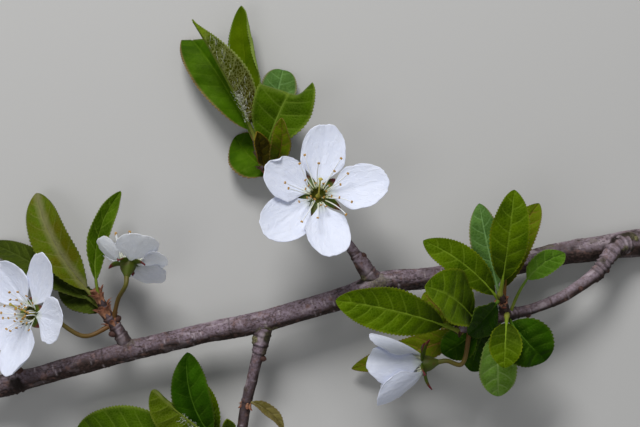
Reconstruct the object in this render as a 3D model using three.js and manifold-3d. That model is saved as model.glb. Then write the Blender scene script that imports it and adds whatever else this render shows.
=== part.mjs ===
// A cut spray of a white-flowered cherry in spring: a woody branch with side twigs, blooms on
// stalks and young leaves. It lies down, as it would on a table, with its blooms facing up.
// Units are millimetres and +Z is up. X runs along the branch, from its cut tip to its butt.
import * as THREE from "three";
import { mergeVertices } from "three/addons/utils/BufferGeometryUtils.js";
import Module from "manifold-3d";

const wasm = await Module();
wasm.setup();

// Driving dimensions
const PIECE_GAP = 0.3; // between two pieces that touch
const LEAF_THICKNESS = 0.4;
const STALK_WIDTH = 0.9;
const STALK_THICKNESS = 0.8;
const STALK_SHARE = 0.14; // of a leaf's length, unless its row says otherwise
const PETAL_THICKNESS = 0.4;
const PETAL_CLAW_WIDTH = 1.2;
const CUP_RADIUS = 1.9; // of a bloom's green cup, at its rim
const CUP_DEPTH = 3.0;
const CUP_SIDES = 8;
// The cup's outline, from the foot round the rim to the floor inside, in shares of its radius and of
// its depth.
const CUP_OUTLINE = [
  [0, -1],
  [0.3, -1],
  [0.8, -0.6],
  [1, 0],
  [0.8, 0.03],
  [0, -0.35],
];
const PETAL_ROOT_RADIUS = 1.5; // where a petal leaves the cup's wall
const FLOWER_STALK_RADIUS = 0.6;
const FLOWER_STALK_SIDES = 6;
const STEP_ALONG_FLOWER_STALK = 2;
const STRAIGHT_BEHIND_CUP = 1.5; // the stretch of a bloom's stalk in line with its cup
const STEP_ALONG_LIMB = 5; // between two sections of a limb
const FEWEST_STEPS = 4;
const MERGE_WITHIN = 1e-4; // of each other, corners are one
// The point on the table under the middle of the spray, in the axes of the tables below.
const TABLE_POINT = [-0.7, -5.5, 0];

const BARK = { color: 0x6e5f60, roughness: 0.85, metalness: 0 };
const GREEN_SKIN = { color: 0x6f8038, roughness: 0.6, metalness: 0 };
const LEAF_GREEN = { color: 0x4a7a10, roughness: 0.5, metalness: 0 };
const PETAL_WHITE = { color: 0xeef0f8, roughness: 0.55, metalness: 0 };

// Woody limbs. Each row of a path is x, y, z and the limb's radius there.
const LIMBS = {
  main_branch: {
    sides: 10,
    path: [
      [70.0, -6.3, 2.95, 2.95],
      [65.2, -6.3, 2.95, 2.85],
      [58.4, -7.3, 3.7, 2.5],
      [50.0, -8.4, 4.5, 2.3],
      [42.6, -10.1, 5.2, 2.2],
      [31.1, -12.2, 6.3, 2.15],
      [20.7, -13.5, 7.4, 2.15],
      [12.8, -14.3, 8.3, 2.35],
      [7.2, -16.5, 9.0, 2.35],
      [0.0, -18.8, 9.4, 2.25],
      [-11.9, -22.2, 9.3, 2.2],
      [-24.7, -24.9, 8.9, 2.1],
      [-39.2, -28.4, 8.1, 2.15],
      [-53.7, -32.3, 7.1, 2.05],
      [-60.5, -34.3, 6.6, 2.1],
      [-64.5, -35.5, 6.4, 2.35],
      [-71.0, -37.2, 6.1, 1.95],
    ],
  },
  upper_twig: {
    sides: 8,
    grows_from: "main_branch",
    path: [
      [11.9, -14.3, 8.6, 1.8],
      [8.9, -10.9, 9.9, 1.55],
      [7.0, -8.0, 9.9, 1.15],
      [3.7, -3.8, 9.3, 1.05],
      [-4.9, 3.8, 8.3, 1.05],
      [-10.9, 8.8, 8.0, 1.0],
      [-12.4, 12.2, 8.1, 0.9],
      [-13.3, 15.6, 8.4, 0.7],
    ],
  },
  lower_twig: {
    sides: 8,
    grows_from: "main_branch",
    path: [
      [-11.6, -22.3, 9.3, 1.9],
      [-11.8, -26.2, 9.4, 1.7],
      [-12.3, -29.2, 9.1, 1.25],
      [-13.7, -35.0, 8.3, 1.15],
      [-15.1, -41.0, 7.3, 1.1],
      [-16.5, -45.4, 6.8, 1.1],
      [-19.0, -47.6, 6.8, 1.05],
      [-21.5, -48.5, 6.8, 0.9],
    ],
  },
  right_twig: {
    sides: 8,
    grows_from: "main_branch",
    path: [
      [65.2, -6.2, 3.6, 1.75],
      [61.4, -7.0, 6.2, 1.75],
      [57.5, -11.0, 8.0, 1.5],
      [50.3, -15.7, 10.0, 1.25],
      [43.8, -18.5, 12.0, 1.15],
      [37.5, -20.6, 14.6, 1.2],
      [32.6, -22.0, 16.8, 0.95],
      [27.4, -23.6, 19.0, 0.8],
    ],
  },
  right_shoot: {
    sides: 8,
    grows_from: "right_twig",
    path: [
      [37.6, -20.7, 14.8, 1.05],
      [36.9, -18.2, 17.0, 0.95],
      [36.0, -16.0, 19.2, 0.7],
    ],
  },
  left_spur: {
    sides: 8,
    grows_from: "main_branch",
    path: [
      [-39.4, -28.2, 8.0, 1.65],
      [-41.4, -24.4, 8.8, 1.35],
      [-43.8, -20.8, 9.6, 1.2],
      [-45.5, -16.8, 10.3, 0.85],
    ],
  },
};

// Blooms. middle is the centre of the green cup's rim, axis the way the bloom faces and cup how far a
// petal's edges curl up. Each petal is its angle round the axis from +X, its length, its width and
// the degrees it is raised off flat.
const BLOOMS = {
  middle_bloom: {
    middle: [-0.3, 3.7, 18.5],
    axis: [0.09, 0.26, 0.96],
    cup: 0.18,
    stalk: { grows_from: "upper_twig", from: [-1.6, 0.9, 8.6], by: [-1.8, 1.8, 12.0] },
    petals: [
      { angle: 87, length: 12.8, width: 9.0, rise: 14 },
      { angle: 11, length: 12.4, width: 9.0, rise: 12 },
      { angle: -76, length: 12.5, width: 8.8, rise: 14 },
      { angle: -143, length: 13.0, width: 9.0, rise: 12 },
      { angle: 159, length: 11.4, width: 8.8, rise: 20 },
    ],
  },
  left_bloom: {
    middle: [-57.6, -20.2, 16.0],
    axis: [-0.6, 0.05, 0.8],
    cup: 0.18,
    stalk: { grows_from: "left_spur", from: [-42.6, -22.8, 9.2], by: [-48.3, -25.1, 11.0] },
    petals: [
      { angle: 64, length: 12.4, width: 8.2, rise: 14 },
      { angle: 126, length: 12.0, width: 8.8, rise: 14 },
      { angle: -157, length: 12.2, width: 8.6, rise: 14 },
      { angle: -104, length: 11.4, width: 8.2, rise: 20 },
      { angle: -8, length: 12.0, width: 9.0, rise: 26 },
    ],
  },
  back_bloom: {
    middle: [-38.9, -9.0, 14.4],
    axis: [0.05, 0.85, -0.4],
    cup: 0.22,
    stalk: { grows_from: "left_spur", from: [-42.6, -22.4, 9.2], by: [-41.2, -17.6, 12.4] },
    petals: [
      { angle: 212, length: 7.6, width: 7.0, rise: 26 },
      { angle: 296, length: 9.2, width: 8.0, rise: 0 },
      { angle: 358, length: 6.6, width: 7.6, rise: 6 },
      { angle: 52, length: 9.6, width: 8.0, rise: -24 },
      { angle: 112, length: 8.0, width: 7.6, rise: 30 },
    ],
  },
  low_bloom: {
    middle: [20.9, -30.4, 15.5],
    axis: [-0.95, -0.14, -0.2],
    cup: 0.36,
    stalk: { grows_from: "right_twig", from: [30.2, -22.8, 17.8], by: [28.4, -30.2, 18.6] },
    petals: [
      { angle: 16, length: 11.4, width: 8.4, rise: 66 },
      { angle: 88, length: 11.6, width: 8.6, rise: 58 },
      { angle: 160, length: 11.4, width: 8.4, rise: 66 },
      { angle: 232, length: 11.6, width: 8.6, rise: 58 },
      { angle: 304, length: 11.4, width: 8.4, rise: 62 },
    ],
  },
};

// Leaves. from is where the stalk leaves its twig and tip is the blade's point. width is the blade's,
// laid flat, and face is the way its upper side looks. The rest shapes it: stalk is the stalk's share
// of the length, fold the angle in degrees that each half is raised from flat, arch and bend how far
// the midrib bows towards the face and to the right. hook is how far the point curls down, or up below
// 0, and back is how far that draws it back. fall sets how blunt the point is, and 0 is square.
const LEAVES = {
  upper_leaf_outer: {
    grows_from: "upper_twig", from: [-12.8, 13.5, 8.2], tip: [-28.7, 38.8, 2.5],
    width: 9.8, face: [-0.1, 0.05, 1], fold: 11, arch: 0.9, hook: 3.4, bend: 0.8, fall: 0.45,
  },
  upper_leaf_folded: {
    grows_from: "upper_twig", from: [-13.2, 15.3, 9.4], tip: [-25.9, 39.3, 14.8],
    width: 8.8, face: [0.8, 0.43, -0.42], fold: 66, arch: 0.6, hook: 0, bend: 0, fall: 1.4,
  },
  upper_leaf_top: {
    grows_from: "upper_twig", from: [-12.6, 14.6, 8.0], tip: [-16.4, 43.1, 6.0],
    width: 6.4, face: [-0.3, 0.1, 1], fold: 16, arch: -2.5, hook: 0, bend: -1.2,
  },
  upper_leaf_back: {
    grows_from: "upper_twig", from: [-11.9, 11.8, 7.6], tip: [-7.4, 31.6, 2.6],
    width: 8.0, face: [0, -0.1, 1], fold: 10, arch: -1.0, hook: 2.0, bend: 0,
  },
  upper_leaf_broad: {
    grows_from: "upper_twig", from: [-11.9, 10.8, 8.6], tip: [-3.0, 32.0, 11.6], fall: 0.5,
    width: 12.0, face: [-0.1, -0.2, 1], fold: 18, arch: 1.0, hook: -5.0, back: 8.0, bend: -0.2,
  },
  upper_leaf_low: {
    grows_from: "upper_twig", from: [-8.8, 7.2, 6.8], tip: [-18.0, 16.4, 1.4],
    width: 9.0, face: [0, 0.1, 1], fold: 6, arch: 0, hook: 0.4, bend: -0.8,
  },
  upper_leaflet_brown: {
    grows_from: "upper_twig", from: [-11.3, 8.8, 8.6], tip: [-12.8, 16.6, 15.0],
    width: 4.2, face: [0.5, -0.2, 1], fold: 35, arch: 0, hook: 0, bend: 0,
  },
  upper_leaflet_green: {
    grows_from: "upper_twig", from: [-10.2, 8.0, 8.5], tip: [-7.7, 19.3, 16.0],
    width: 4.6, face: [-0.2, -0.4, 1], fold: 30, arch: 0.6, hook: 0, bend: 1.1,
  },
  lower_leaf_upright: {
    grows_from: "lower_twig", from: [-19.8, -47.8, 7.3], tip: [-27.2, -28.3, 9.6],
    width: 9.0, face: [0.1, -0.1, 1], fold: 12, arch: 1.4, hook: 0.4, bend: -1.8,
  },
  lower_leaf_back: {
    grows_from: "lower_twig", from: [-20.6, -48.2, 6.3], tip: [-24.6, -34.4, 3.6],
    width: 5.0, face: [0.3, 0, 1], fold: 14, arch: 0.4, hook: 0, bend: 0,
  },
  lower_leaf_ridged: {
    grows_from: "lower_twig", from: [-21.4, -48.4, 7.8], tip: [-34.2, -35.8, 14.0],
    width: 12.0, face: [-0.47, -0.61, -0.64], fold: 48, arch: 0.4, hook: 0, bend: 0,
  },
  lower_leaf_wide: {
    grows_from: "lower_twig", from: [-21.2, -48.4, 6.6], tip: [-52.0, -47.4, 1.3],
    width: 14.0, face: [-0.1, 0.1, 1], fold: 10, arch: 2.0, hook: 1.6, bend: 0,
  },
  lower_leaflet: {
    grows_from: "lower_twig", from: [-18.6, -47.3, 7.2], tip: [-18.0, -41.6, 11.6],
    width: 3.4, face: [0.2, -0.4, 1], fold: 25, arch: 0, hook: 0, bend: 0,
  },
  lower_bud_leaf: {
    grows_from: "lower_twig", from: [-14.7, -38.8, 8.0], tip: [-7.0, -44.2, 10.4],
    width: 3.2, face: [0.3, 0.4, 1], fold: 50, arch: 0.9, hook: 0, bend: -0.6,
  },
  left_leaf_long: {
    grows_from: "left_spur", from: [-45.0, -18.6, 10.0], tip: [-59.6, 4.8, 4.6],
    width: 8.4, face: [0, 0.1, 1], fold: 24, arch: 1.4, hook: 1.0, bend: -2.0,
  },
  left_leaf_narrow: {
    grows_from: "left_spur", from: [-45.4, -17.0, 10.3], tip: [-41.0, 5.0, 8.6],
    width: 4.8, face: [0.2, 0.1, 1], fold: 30, arch: 0.4, hook: 0.6, bend: -2.6,
  },
  left_leaf_low: {
    grows_from: "left_spur", from: [-44.2, -20.0, 9.6], tip: [-70.0, -5.6, 0.9],
    width: 6.0, face: [0.1, 0.3, 1], fold: 12, arch: 1.4, hook: 1.0, bend: 0.4,
  },
  left_leaf_dark: {
    grows_from: "left_spur", from: [-43.6, -21.2, 9.3], tip: [-54.4, -15.0, 3.4],
    width: 5.8, face: [0, 0.2, 1], fold: 10, arch: 0.6, hook: 0, bend: 0,
  },
  right_leaf_long: {
    grows_from: "right_twig", from: [27.8, -23.5, 19.0], tip: [2.8, -17.0, 26.5],
    width: 10.4, face: [-0.1, -0.1, 1], fold: 12, arch: 1.8, hook: 0.8, bend: 0.5,
  },
  right_leaf_front: {
    grows_from: "right_twig", from: [31.4, -22.4, 17.4], tip: [20.6, -14.0, 29.0],
    width: 8.4, face: [0.5, 0.3, 0.8], fold: 14, arch: 1.2, hook: 0.6, bend: 0,
  },
  right_leaf_reach: {
    grows_from: "right_shoot", from: [36.8, -18.6, 16.8], tip: [20.4, -5.2, 22.0],
    width: 7.0, face: [0.1, 0.1, 1], fold: 12, arch: 1.2, hook: 0.6, bend: 0,
  },
  right_leaf_blue: {
    grows_from: "right_shoot", from: [36.3, -17.2, 17.7], tip: [31.0, 1.8, 18.0],
    width: 6.4, face: [-0.3, -0.1, 1], fold: 10, arch: 1.0, hook: 0.4, bend: 0,
  },
  right_leaf_top: {
    grows_from: "right_shoot", from: [36.1, -16.0, 19.1], tip: [37.8, 4.3, 26.5],
    width: 8.6, face: [0, -0.2, 1], fold: 16, arch: 1.4, hook: 0.8, bend: 0.6,
  },
  right_leaf_edge: {
    grows_from: "right_shoot", from: [37.0, -18.0, 17.2], tip: [45.0, 1.6, 14.6],
    width: 7.0, face: [0.2, 0, 1], fold: 14, arch: 1.0, hook: 0.6, bend: -1.4,
  },
  right_leaf_small: {
    grows_from: "right_twig", from: [38.6, -20.2, 14.6], tip: [50.3, -8.2, 11.4],
    width: 5.8, face: [0.2, -0.2, 1], fold: 8, arch: 1.0, hook: 0, bend: -0.6, stalk: 0.35,
  },
  right_leaf_shade: {
    grows_from: "right_twig", from: [35.0, -21.5, 15.4], tip: [31.2, -32.6, 6.6],
    width: 6.0, face: [-0.5, -0.5, 0.8], fold: 10, arch: -0.8, hook: 0, bend: 0,
  },
  right_leaf_round: {
    grows_from: "right_twig", from: [37.8, -20.7, 14.7], tip: [45.9, -28.6, 18.0],
    width: 9.8, face: [-0.1, 0.2, 1], fold: 10, arch: 1.6, hook: 0.8, bend: 0.6,
  },
  right_leaf_under: {
    grows_from: "right_twig", from: [36.4, -21.1, 14.7], tip: [36.6, -37.9, 10.6],
    width: 7.6, face: [0, 0.3, 1], fold: 10, arch: 1.4, hook: 0.6, bend: 0.4,
  },
  right_leaf_hidden: {
    grows_from: "right_twig", from: [33.8, -21.9, 15.8], tip: [6.6, -32.4, 3.4],
    width: 6.2, face: [-0.1, 0.3, 1], fold: 14, arch: -4.0, hook: 0, bend: 0,
  },
  right_leaf_stub: {
    grows_from: "right_twig", from: [32.4, -22.3, 16.6], tip: [24.8, -28.4, 14.6],
    width: 6.8, face: [0, 0.2, 1], fold: 14, arch: 0.2, hook: 0, bend: -0.6,
  },
};

const point = (row) => new THREE.Vector3(row[0], row[1], row[2]);

// A manifold solid from a geometry, turned the right way out.
function solidFrom(geometry) {
  const merged = mergeVertices(geometry, MERGE_WITHIN);
  const corners = [...merged.index.array];
  const triangles = corners
    .map((_, i) => corners.slice(i, i + 3))
    .filter((triangle, i) => i % 3 === 0 && new Set(triangle).size === 3);
  const build = (faces) =>
    new wasm.Manifold(
      new wasm.Mesh({
        numProp: 3,
        vertProperties: merged.getAttribute("position").array,
        triVerts: new Uint32Array(faces.flat()),
      }),
    );
  const solid = build(triangles);
  return solid.volume() > 0 ? solid : build(triangles.map((triangle) => triangle.reverse()));
}

// Joins rings of equally many points into a tube, and closes both ends with the given cap.
function loft(rings, capTriangles) {
  const count = rings[0].length;
  const triangles = [];
  for (let i = 0; i + 1 < rings.length; i++) {
    for (let j = 0; j < count; j++) {
      const a = i * count + j;
      const b = i * count + ((j + 1) % count);
      triangles.push([a, b, b + count], [a, b + count, a + count]);
    }
  }
  const last = (rings.length - 1) * count;
  for (const [a, b, c] of capTriangles) {
    triangles.push([c, b, a], [last + a, last + b, last + c]);
  }
  return solidFrom(new THREE.BufferGeometry().setFromPoints(rings.flat()).setIndex(triangles.flat()));
}

const fanCap = (count) => Array.from({ length: count - 2 }, (_, i) => [0, i + 1, i + 2]);

// A round limb along a smooth curve through the rows of its path, grown by extra all round and at
// both ends.
function limbSolid({ path, sides, step = STEP_ALONG_LIMB }, extra = 0) {
  const curve = new THREE.CatmullRomCurve3(path.map(point), false, "centripetal");
  const count = Math.max(FEWEST_STEPS, Math.round(curve.getLength() / step));
  const frames = curve.computeFrenetFrames(count, false);
  const rings = [];
  for (let i = 0; i <= count; i++) {
    const share = curve.getUtoTmapping(i / count) * (path.length - 1);
    const row = Math.min(Math.floor(share), path.length - 2);
    const radius = THREE.MathUtils.lerp(path[row][3], path[row + 1][3], share - row) + extra;
    const outward = i === 0 ? -extra : i === count ? extra : 0;
    const centre = curve.getPointAt(i / count).addScaledVector(frames.tangents[i], outward);
    rings.push(
      Array.from({ length: sides }, (_, j) => {
        const angle = (2 * Math.PI * j) / sides;
        return centre
          .clone()
          .addScaledVector(frames.normals[i], radius * Math.cos(angle))
          .addScaledVector(frames.binormals[i], radius * Math.sin(angle));
      }),
    );
  }
  return loft(rings, fanCap(sides));
}

// The places across a blade where its section has points, from its left edge to its right one.
const ACROSS = [-1, -0.5, 0, 0.5, 1];
const BLADE_CAP = ACROSS.slice(1).flatMap((_, i) => {
  const under = 2 * ACROSS.length - 1 - i;
  return [
    [i, i + 1, under - 1],
    [i, under - 1, under],
  ];
});

// A thin blade along a bowed midrib. outline gives its half width and thickness at each share of
// its length. The hook turns its end down or up and back, from HOOK_START of its length on.
const HOOK_START = 0.6;
const HOOK_DOWN = 0.8;
const HOOK_BACK = 0.6;
const SLOPE_STEP = 0.01; // the share of the length that a midrib's direction is measured over
function bladeSolid(blade, shares, outline) {
  const { from, tip, face, fold = 0, arch = 0, hook = 0, bend = 0, cup = 0 } = blade;
  const { back = HOOK_BACK * hook } = blade;
  const root = point(from);
  const along = point(tip).sub(root);
  const right = along.clone().cross(point(face)).normalize();
  const up = right.clone().cross(along).normalize();
  const ahead = along.clone().normalize();
  const rib = (s) => {
    const curl = Math.max(0, (s - HOOK_START) / (1 - HOOK_START)) ** 2;
    return root
      .clone()
      .addScaledVector(along, s)
      .addScaledVector(up, 4 * arch * s * (1 - s) - HOOK_DOWN * hook * curl)
      .addScaledVector(ahead, -back * curl)
      .addScaledVector(right, 4 * bend * s * (1 - s));
  };
  const slope = THREE.MathUtils.degToRad(fold);
  const rings = shares.map((s) => {
    const { half, thickness, flat } = outline(s);
    const forward = rib(s + SLOPE_STEP).sub(rib(s - SLOPE_STEP)).normalize();
    const over = right.clone().cross(forward).normalize();
    const lean = flat ? 0 : slope;
    const surface = ACROSS.map((a) => {
      const lift = Math.abs(a) * Math.sin(lean) + cup * a * a;
      const place = rib(s)
        .addScaledVector(right, half * a * Math.cos(lean))
        .addScaledVector(over, half * lift);
      const normal = over
        .clone()
        .multiplyScalar(Math.cos(lean))
        .addScaledVector(right, -Math.sign(a) * Math.sin(lean))
        .normalize();
      return { place, normal };
    });
    const side = (sign) => ({ place, normal }) =>
      place.clone().addScaledVector(normal, (sign * thickness) / 2);
    return [...surface.map(side(1)), ...surface.map(side(-1)).reverse()];
  });
  return loft(rings, BLADE_CAP);
}

// A leaf: a short stalk, then a blade that is widest past its middle. One that curls back a long way
// has more sections.
const LEAF_SHARES = [0, 0.16, 0.46, 0.76, 1];
const CURLED_LEAF_SHARES = [0, 0.14, 0.36, 0.58, 0.78, 0.92, 1];
const CURLED_FROM_HOOK = 3;
const TIP_HALF_WIDTH = 0.25;
const LEAF_RISE_POWER = 0.75;
const LEAF_FALL_POWER = 0.7;
function leafSolid(leaf) {
  const { stalk = STALK_SHARE, fall = LEAF_FALL_POWER } = leaf;
  const bulge = (t) => t ** LEAF_RISE_POWER * (1 - t) ** fall;
  const peak = LEAF_RISE_POWER / (LEAF_RISE_POWER + fall);
  const sections = Math.abs(leaf.hook) > CURLED_FROM_HOOK ? CURLED_LEAF_SHARES : LEAF_SHARES;
  const shares = sections.map((t) => stalk + (1 - stalk) * t);
  return bladeSolid(leaf, [0, ...shares], (s) => {
    const t = THREE.MathUtils.clamp((s - stalk) / (1 - stalk), 0, 1);
    if (t === 0) return { half: STALK_WIDTH / 2, thickness: STALK_THICKNESS, flat: true };
    const half = ((leaf.width / 2) * bulge(t)) / bulge(peak);
    return { half: Math.max(TIP_HALF_WIDTH, half), thickness: LEAF_THICKNESS, flat: false };
  });
}

// A petal: a narrow claw that opens into a round blade, which bows away from the bloom's face.
const PETAL_BOW = 0.06;
const PETAL_SHARES = [0, 0.14, 0.38, 0.62, 0.84, 1];
const PETAL_PEAK = 2 / 3;
const PETAL_RISE_POWER = 0.7;
const PETAL_FALL_POWER = 0.35;
const PETAL_END_SHARE = 0.3; // of its width, at its blunt end
function petalSolid(petal) {
  const bulge = (s) => s ** PETAL_RISE_POWER * (1 - s) ** PETAL_FALL_POWER;
  return bladeSolid(petal, PETAL_SHARES, (s) => {
    const share = s === 1 ? PETAL_END_SHARE : bulge(s) / bulge(PETAL_PEAK);
    const half = Math.max(PETAL_CLAW_WIDTH, petal.width * share) / 2;
    return { half, thickness: PETAL_THICKNESS, flat: false };
  });
}

// The directions across a bloom: right is the nearest to +X, and turn is a quarter turn from it.
function bloomFrame({ middle, axis }) {
  const facing = point(axis).normalize();
  const right = new THREE.Vector3(1, 0, 0).projectOnPlane(facing).normalize();
  return { centre: point(middle), facing, right, turn: facing.clone().cross(right) };
}

function bloomSolid(bloom) {
  const { centre, facing, right, turn } = bloomFrame(bloom);
  const profile = CUP_OUTLINE.map(([r, z]) => new THREE.Vector2(r * CUP_RADIUS, z * CUP_DEPTH));
  const lathe = new THREE.LatheGeometry(profile, CUP_SIDES)
    .deleteAttribute("normal")
    .deleteAttribute("uv");
  const turned = new THREE.Matrix4()
    .makeBasis(right, facing, right.clone().cross(facing))
    .setPosition(centre);
  const cup = solidFrom(lathe.applyMatrix4(turned));
  const petals = bloom.petals.map(({ angle, length, width, rise }) => {
    const round = THREE.MathUtils.degToRad(angle);
    const raised = THREE.MathUtils.degToRad(rise);
    const out = right.clone().multiplyScalar(Math.cos(round)).addScaledVector(turn, Math.sin(round));
    const from = centre.clone().addScaledVector(out, PETAL_ROOT_RADIUS);
    const tip = from
      .clone()
      .addScaledVector(out, length * Math.cos(raised))
      .addScaledVector(facing, length * Math.sin(raised));
    const blade = { from: from.toArray(), tip: tip.toArray(), face: facing.toArray(), width };
    return petalSolid({ ...blade, arch: -PETAL_BOW * length, cup: bloom.cup });
  });
  return petals.reduce((joined, petal) => joined.add(petal), cup);
}

// A bloom's own stalk, from its twig to the foot of the cup, which it meets end on.
function flowerStalkSolid(bloom) {
  const { centre, facing } = bloomFrame(bloom);
  const foot = centre.clone().addScaledVector(facing, -CUP_DEPTH - PIECE_GAP);
  const before = foot.clone().addScaledVector(facing, -STRAIGHT_BEHIND_CUP);
  const rows = [point(bloom.stalk.from), point(bloom.stalk.by), before, foot];
  const path = rows.map((row) => [...row.toArray(), FLOWER_STALK_RADIUS]);
  return limbSolid({ path, sides: FLOWER_STALK_SIDES, step: STEP_ALONG_FLOWER_STALK });
}

// The largest body of a solid: what is left inside a cut twig is dropped.
function largestBody(solid) {
  return solid.decompose().reduce((a, b) => (a.volume() > b.volume() ? a : b));
}

const grownLimbs = Object.fromEntries(
  Object.entries(LIMBS).map(([name, limb]) => [name, limbSolid(limb, PIECE_GAP)]),
);
const cutBy = (solid, limb) => largestBody(solid.subtract(grownLimbs[limb]));

const spray = new THREE.Group();

function addPiece(name, solid, look) {
  const { numProp, numVert, vertProperties, triVerts } = solid.getMesh();
  const geometry = new THREE.BufferGeometry();
  const rows = Array.from({ length: numVert }, (_, i) =>
    vertProperties.slice(i * numProp, i * numProp + 3),
  );
  geometry.setAttribute("position", new THREE.Float32BufferAttribute(rows.flatMap((row) => [...row]), 3));
  geometry.setIndex([...triVerts]);
  geometry.computeVertexNormals();
  const mesh = new THREE.Mesh(geometry, new THREE.MeshStandardMaterial(look));
  mesh.name = name;
  spray.add(mesh);
}

for (const [name, limb] of Object.entries(LIMBS)) {
  const whole = limbSolid(limb);
  addPiece(name, limb.grows_from ? cutBy(whole, limb.grows_from) : whole, BARK);
}
for (const [name, bloom] of Object.entries(BLOOMS)) {
  addPiece(name, bloomSolid(bloom), PETAL_WHITE);
  addPiece(`${name}_stalk`, cutBy(flowerStalkSolid(bloom), bloom.stalk.grows_from), GREEN_SKIN);
}
for (const [name, leaf] of Object.entries(LEAVES)) {
  addPiece(name, cutBy(leafSolid(leaf), leaf.grows_from), LEAF_GREEN);
}

spray.position.set(...TABLE_POINT).negate();

export default spray;
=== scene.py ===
"""The looks of a cut spray of white-flowered cherry: bark, buds, leaves, petals and stamens.

Lengths in the tables are millimetres, in the same axes for all of them: X along the branch, Y across
it and Z up. Shape.piece() turns them into the frame's metres. Colours are red, green and blue from
0 to 255, as they look, and linear() turns them into what a shader takes.
"""

import itertools
import math
from typing import NamedTuple

import bpy
import numpy as np
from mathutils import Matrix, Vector


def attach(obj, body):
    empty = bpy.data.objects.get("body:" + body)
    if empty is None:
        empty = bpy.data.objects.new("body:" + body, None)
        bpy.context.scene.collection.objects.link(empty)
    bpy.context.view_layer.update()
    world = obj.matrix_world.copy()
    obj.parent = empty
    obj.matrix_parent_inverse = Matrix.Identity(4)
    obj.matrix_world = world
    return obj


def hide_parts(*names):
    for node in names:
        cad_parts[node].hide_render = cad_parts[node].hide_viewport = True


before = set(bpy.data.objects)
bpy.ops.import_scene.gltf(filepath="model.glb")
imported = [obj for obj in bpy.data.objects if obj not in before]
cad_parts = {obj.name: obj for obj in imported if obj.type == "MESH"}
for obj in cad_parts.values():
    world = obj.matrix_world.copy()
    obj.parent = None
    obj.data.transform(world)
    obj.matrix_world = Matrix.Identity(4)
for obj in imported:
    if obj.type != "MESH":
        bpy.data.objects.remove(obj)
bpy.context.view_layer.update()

MM = 0.001
# The point on the table under the middle of the spray, in the axes of the tables.
TABLE_POINT = np.array([-0.7, -5.5, 0.0])
CAMERA_HEIGHT = 375.0
FLOOR_HALF = 3.0  # half the floor's side, in metres
UP = np.array([0.0, 0.0, 1.0])

# Woody limbs, each along a smooth curve through rows of x, y, z and radius.
LIMBS = {
    "main_branch": [
        (70.0, -6.3, 2.95, 2.95), (65.2, -6.3, 2.95, 2.85), (58.4, -7.3, 3.7, 2.5), (50.0, -8.4, 4.5, 2.3),
        (42.6, -10.1, 5.2, 2.2), (31.1, -12.2, 6.3, 2.15), (20.7, -13.5, 7.4, 2.15),
        (12.8, -14.3, 8.3, 2.35), (7.2, -16.5, 9.0, 2.35), (0.0, -18.8, 9.4, 2.25),
        (-11.9, -22.2, 9.3, 2.2), (-24.7, -24.9, 8.9, 2.1), (-39.2, -28.4, 8.1, 2.15),
        (-53.7, -32.3, 7.1, 2.05), (-60.5, -34.3, 6.6, 2.1), (-64.5, -35.5, 6.4, 2.35),
        (-71.0, -37.2, 6.1, 1.95),
    ],
    "upper_twig": [
        (11.9, -14.3, 8.6, 1.8), (8.9, -10.9, 9.9, 1.55), (7.0, -8.0, 9.9, 1.15), (3.7, -3.8, 9.3, 1.05),
        (-4.9, 3.8, 8.3, 1.05), (-10.9, 8.8, 8.0, 1.0), (-12.4, 12.2, 8.1, 0.9), (-13.3, 15.6, 8.4, 0.7),
    ],
    "lower_twig": [
        (-11.6, -22.3, 9.3, 1.9), (-12.1, -26.2, 9.4, 1.65), (-12.8, -29.2, 9.1, 1.25),
        (-14.2, -35.0, 8.3, 1.15), (-15.6, -41.0, 7.3, 1.1), (-16.5, -45.4, 6.8, 1.1),
        (-19.0, -47.6, 6.8, 1.05), (-21.5, -48.5, 6.8, 0.9),
    ],
    "right_twig": [
        (65.2, -6.2, 3.6, 1.75), (61.4, -7.0, 6.2, 1.75), (57.5, -11.8, 8.0, 1.4),
        (50.3, -16.8, 10.0, 1.15), (43.8, -19.3, 12.0, 1.1), (37.5, -20.7, 14.6, 1.2),
        (32.6, -22.0, 16.8, 0.95), (27.4, -23.6, 19.0, 0.8),
    ],
    "right_shoot": [
        (37.6, -20.7, 14.8, 1.05), (36.9, -18.2, 17.0, 0.95), (36.0, -16.0, 19.2, 0.7),
    ],
    "left_spur": [
        (-39.4, -28.2, 8.0, 1.65), (-41.4, -24.4, 8.8, 1.35), (-43.8, -20.8, 9.6, 1.2),
        (-45.5, -16.8, 10.3, 0.85),
    ],
}
LIMB_STEP = 0.2  # the length of one row of a limb's mesh
LIMB_COLUMN = 0.17  # the width of one column of it
YOUNG_BARK = 0.35  # how cracked a twig's bark is, where the main branch's is 1
SUNNY_SIDE = np.array([-0.1, 0.75, 0.65])  # the side where the bark has a grey film and is painted lighter, as if lit; the far side is painted in shade
BARK_LUMPS, BARK_PLATES, BARK_GRAIN, BARK_CRACKS = 0.10, 0.07, 0.02, 0.10  # how high, or deep, each is
PORES = 0.55  # for each square millimetre of a limb's length times its radius
PORE_LENGTH, PORE_HEIGHT = 0.16, 0.07
YEARS = 9.0  # rings in a cut
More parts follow.
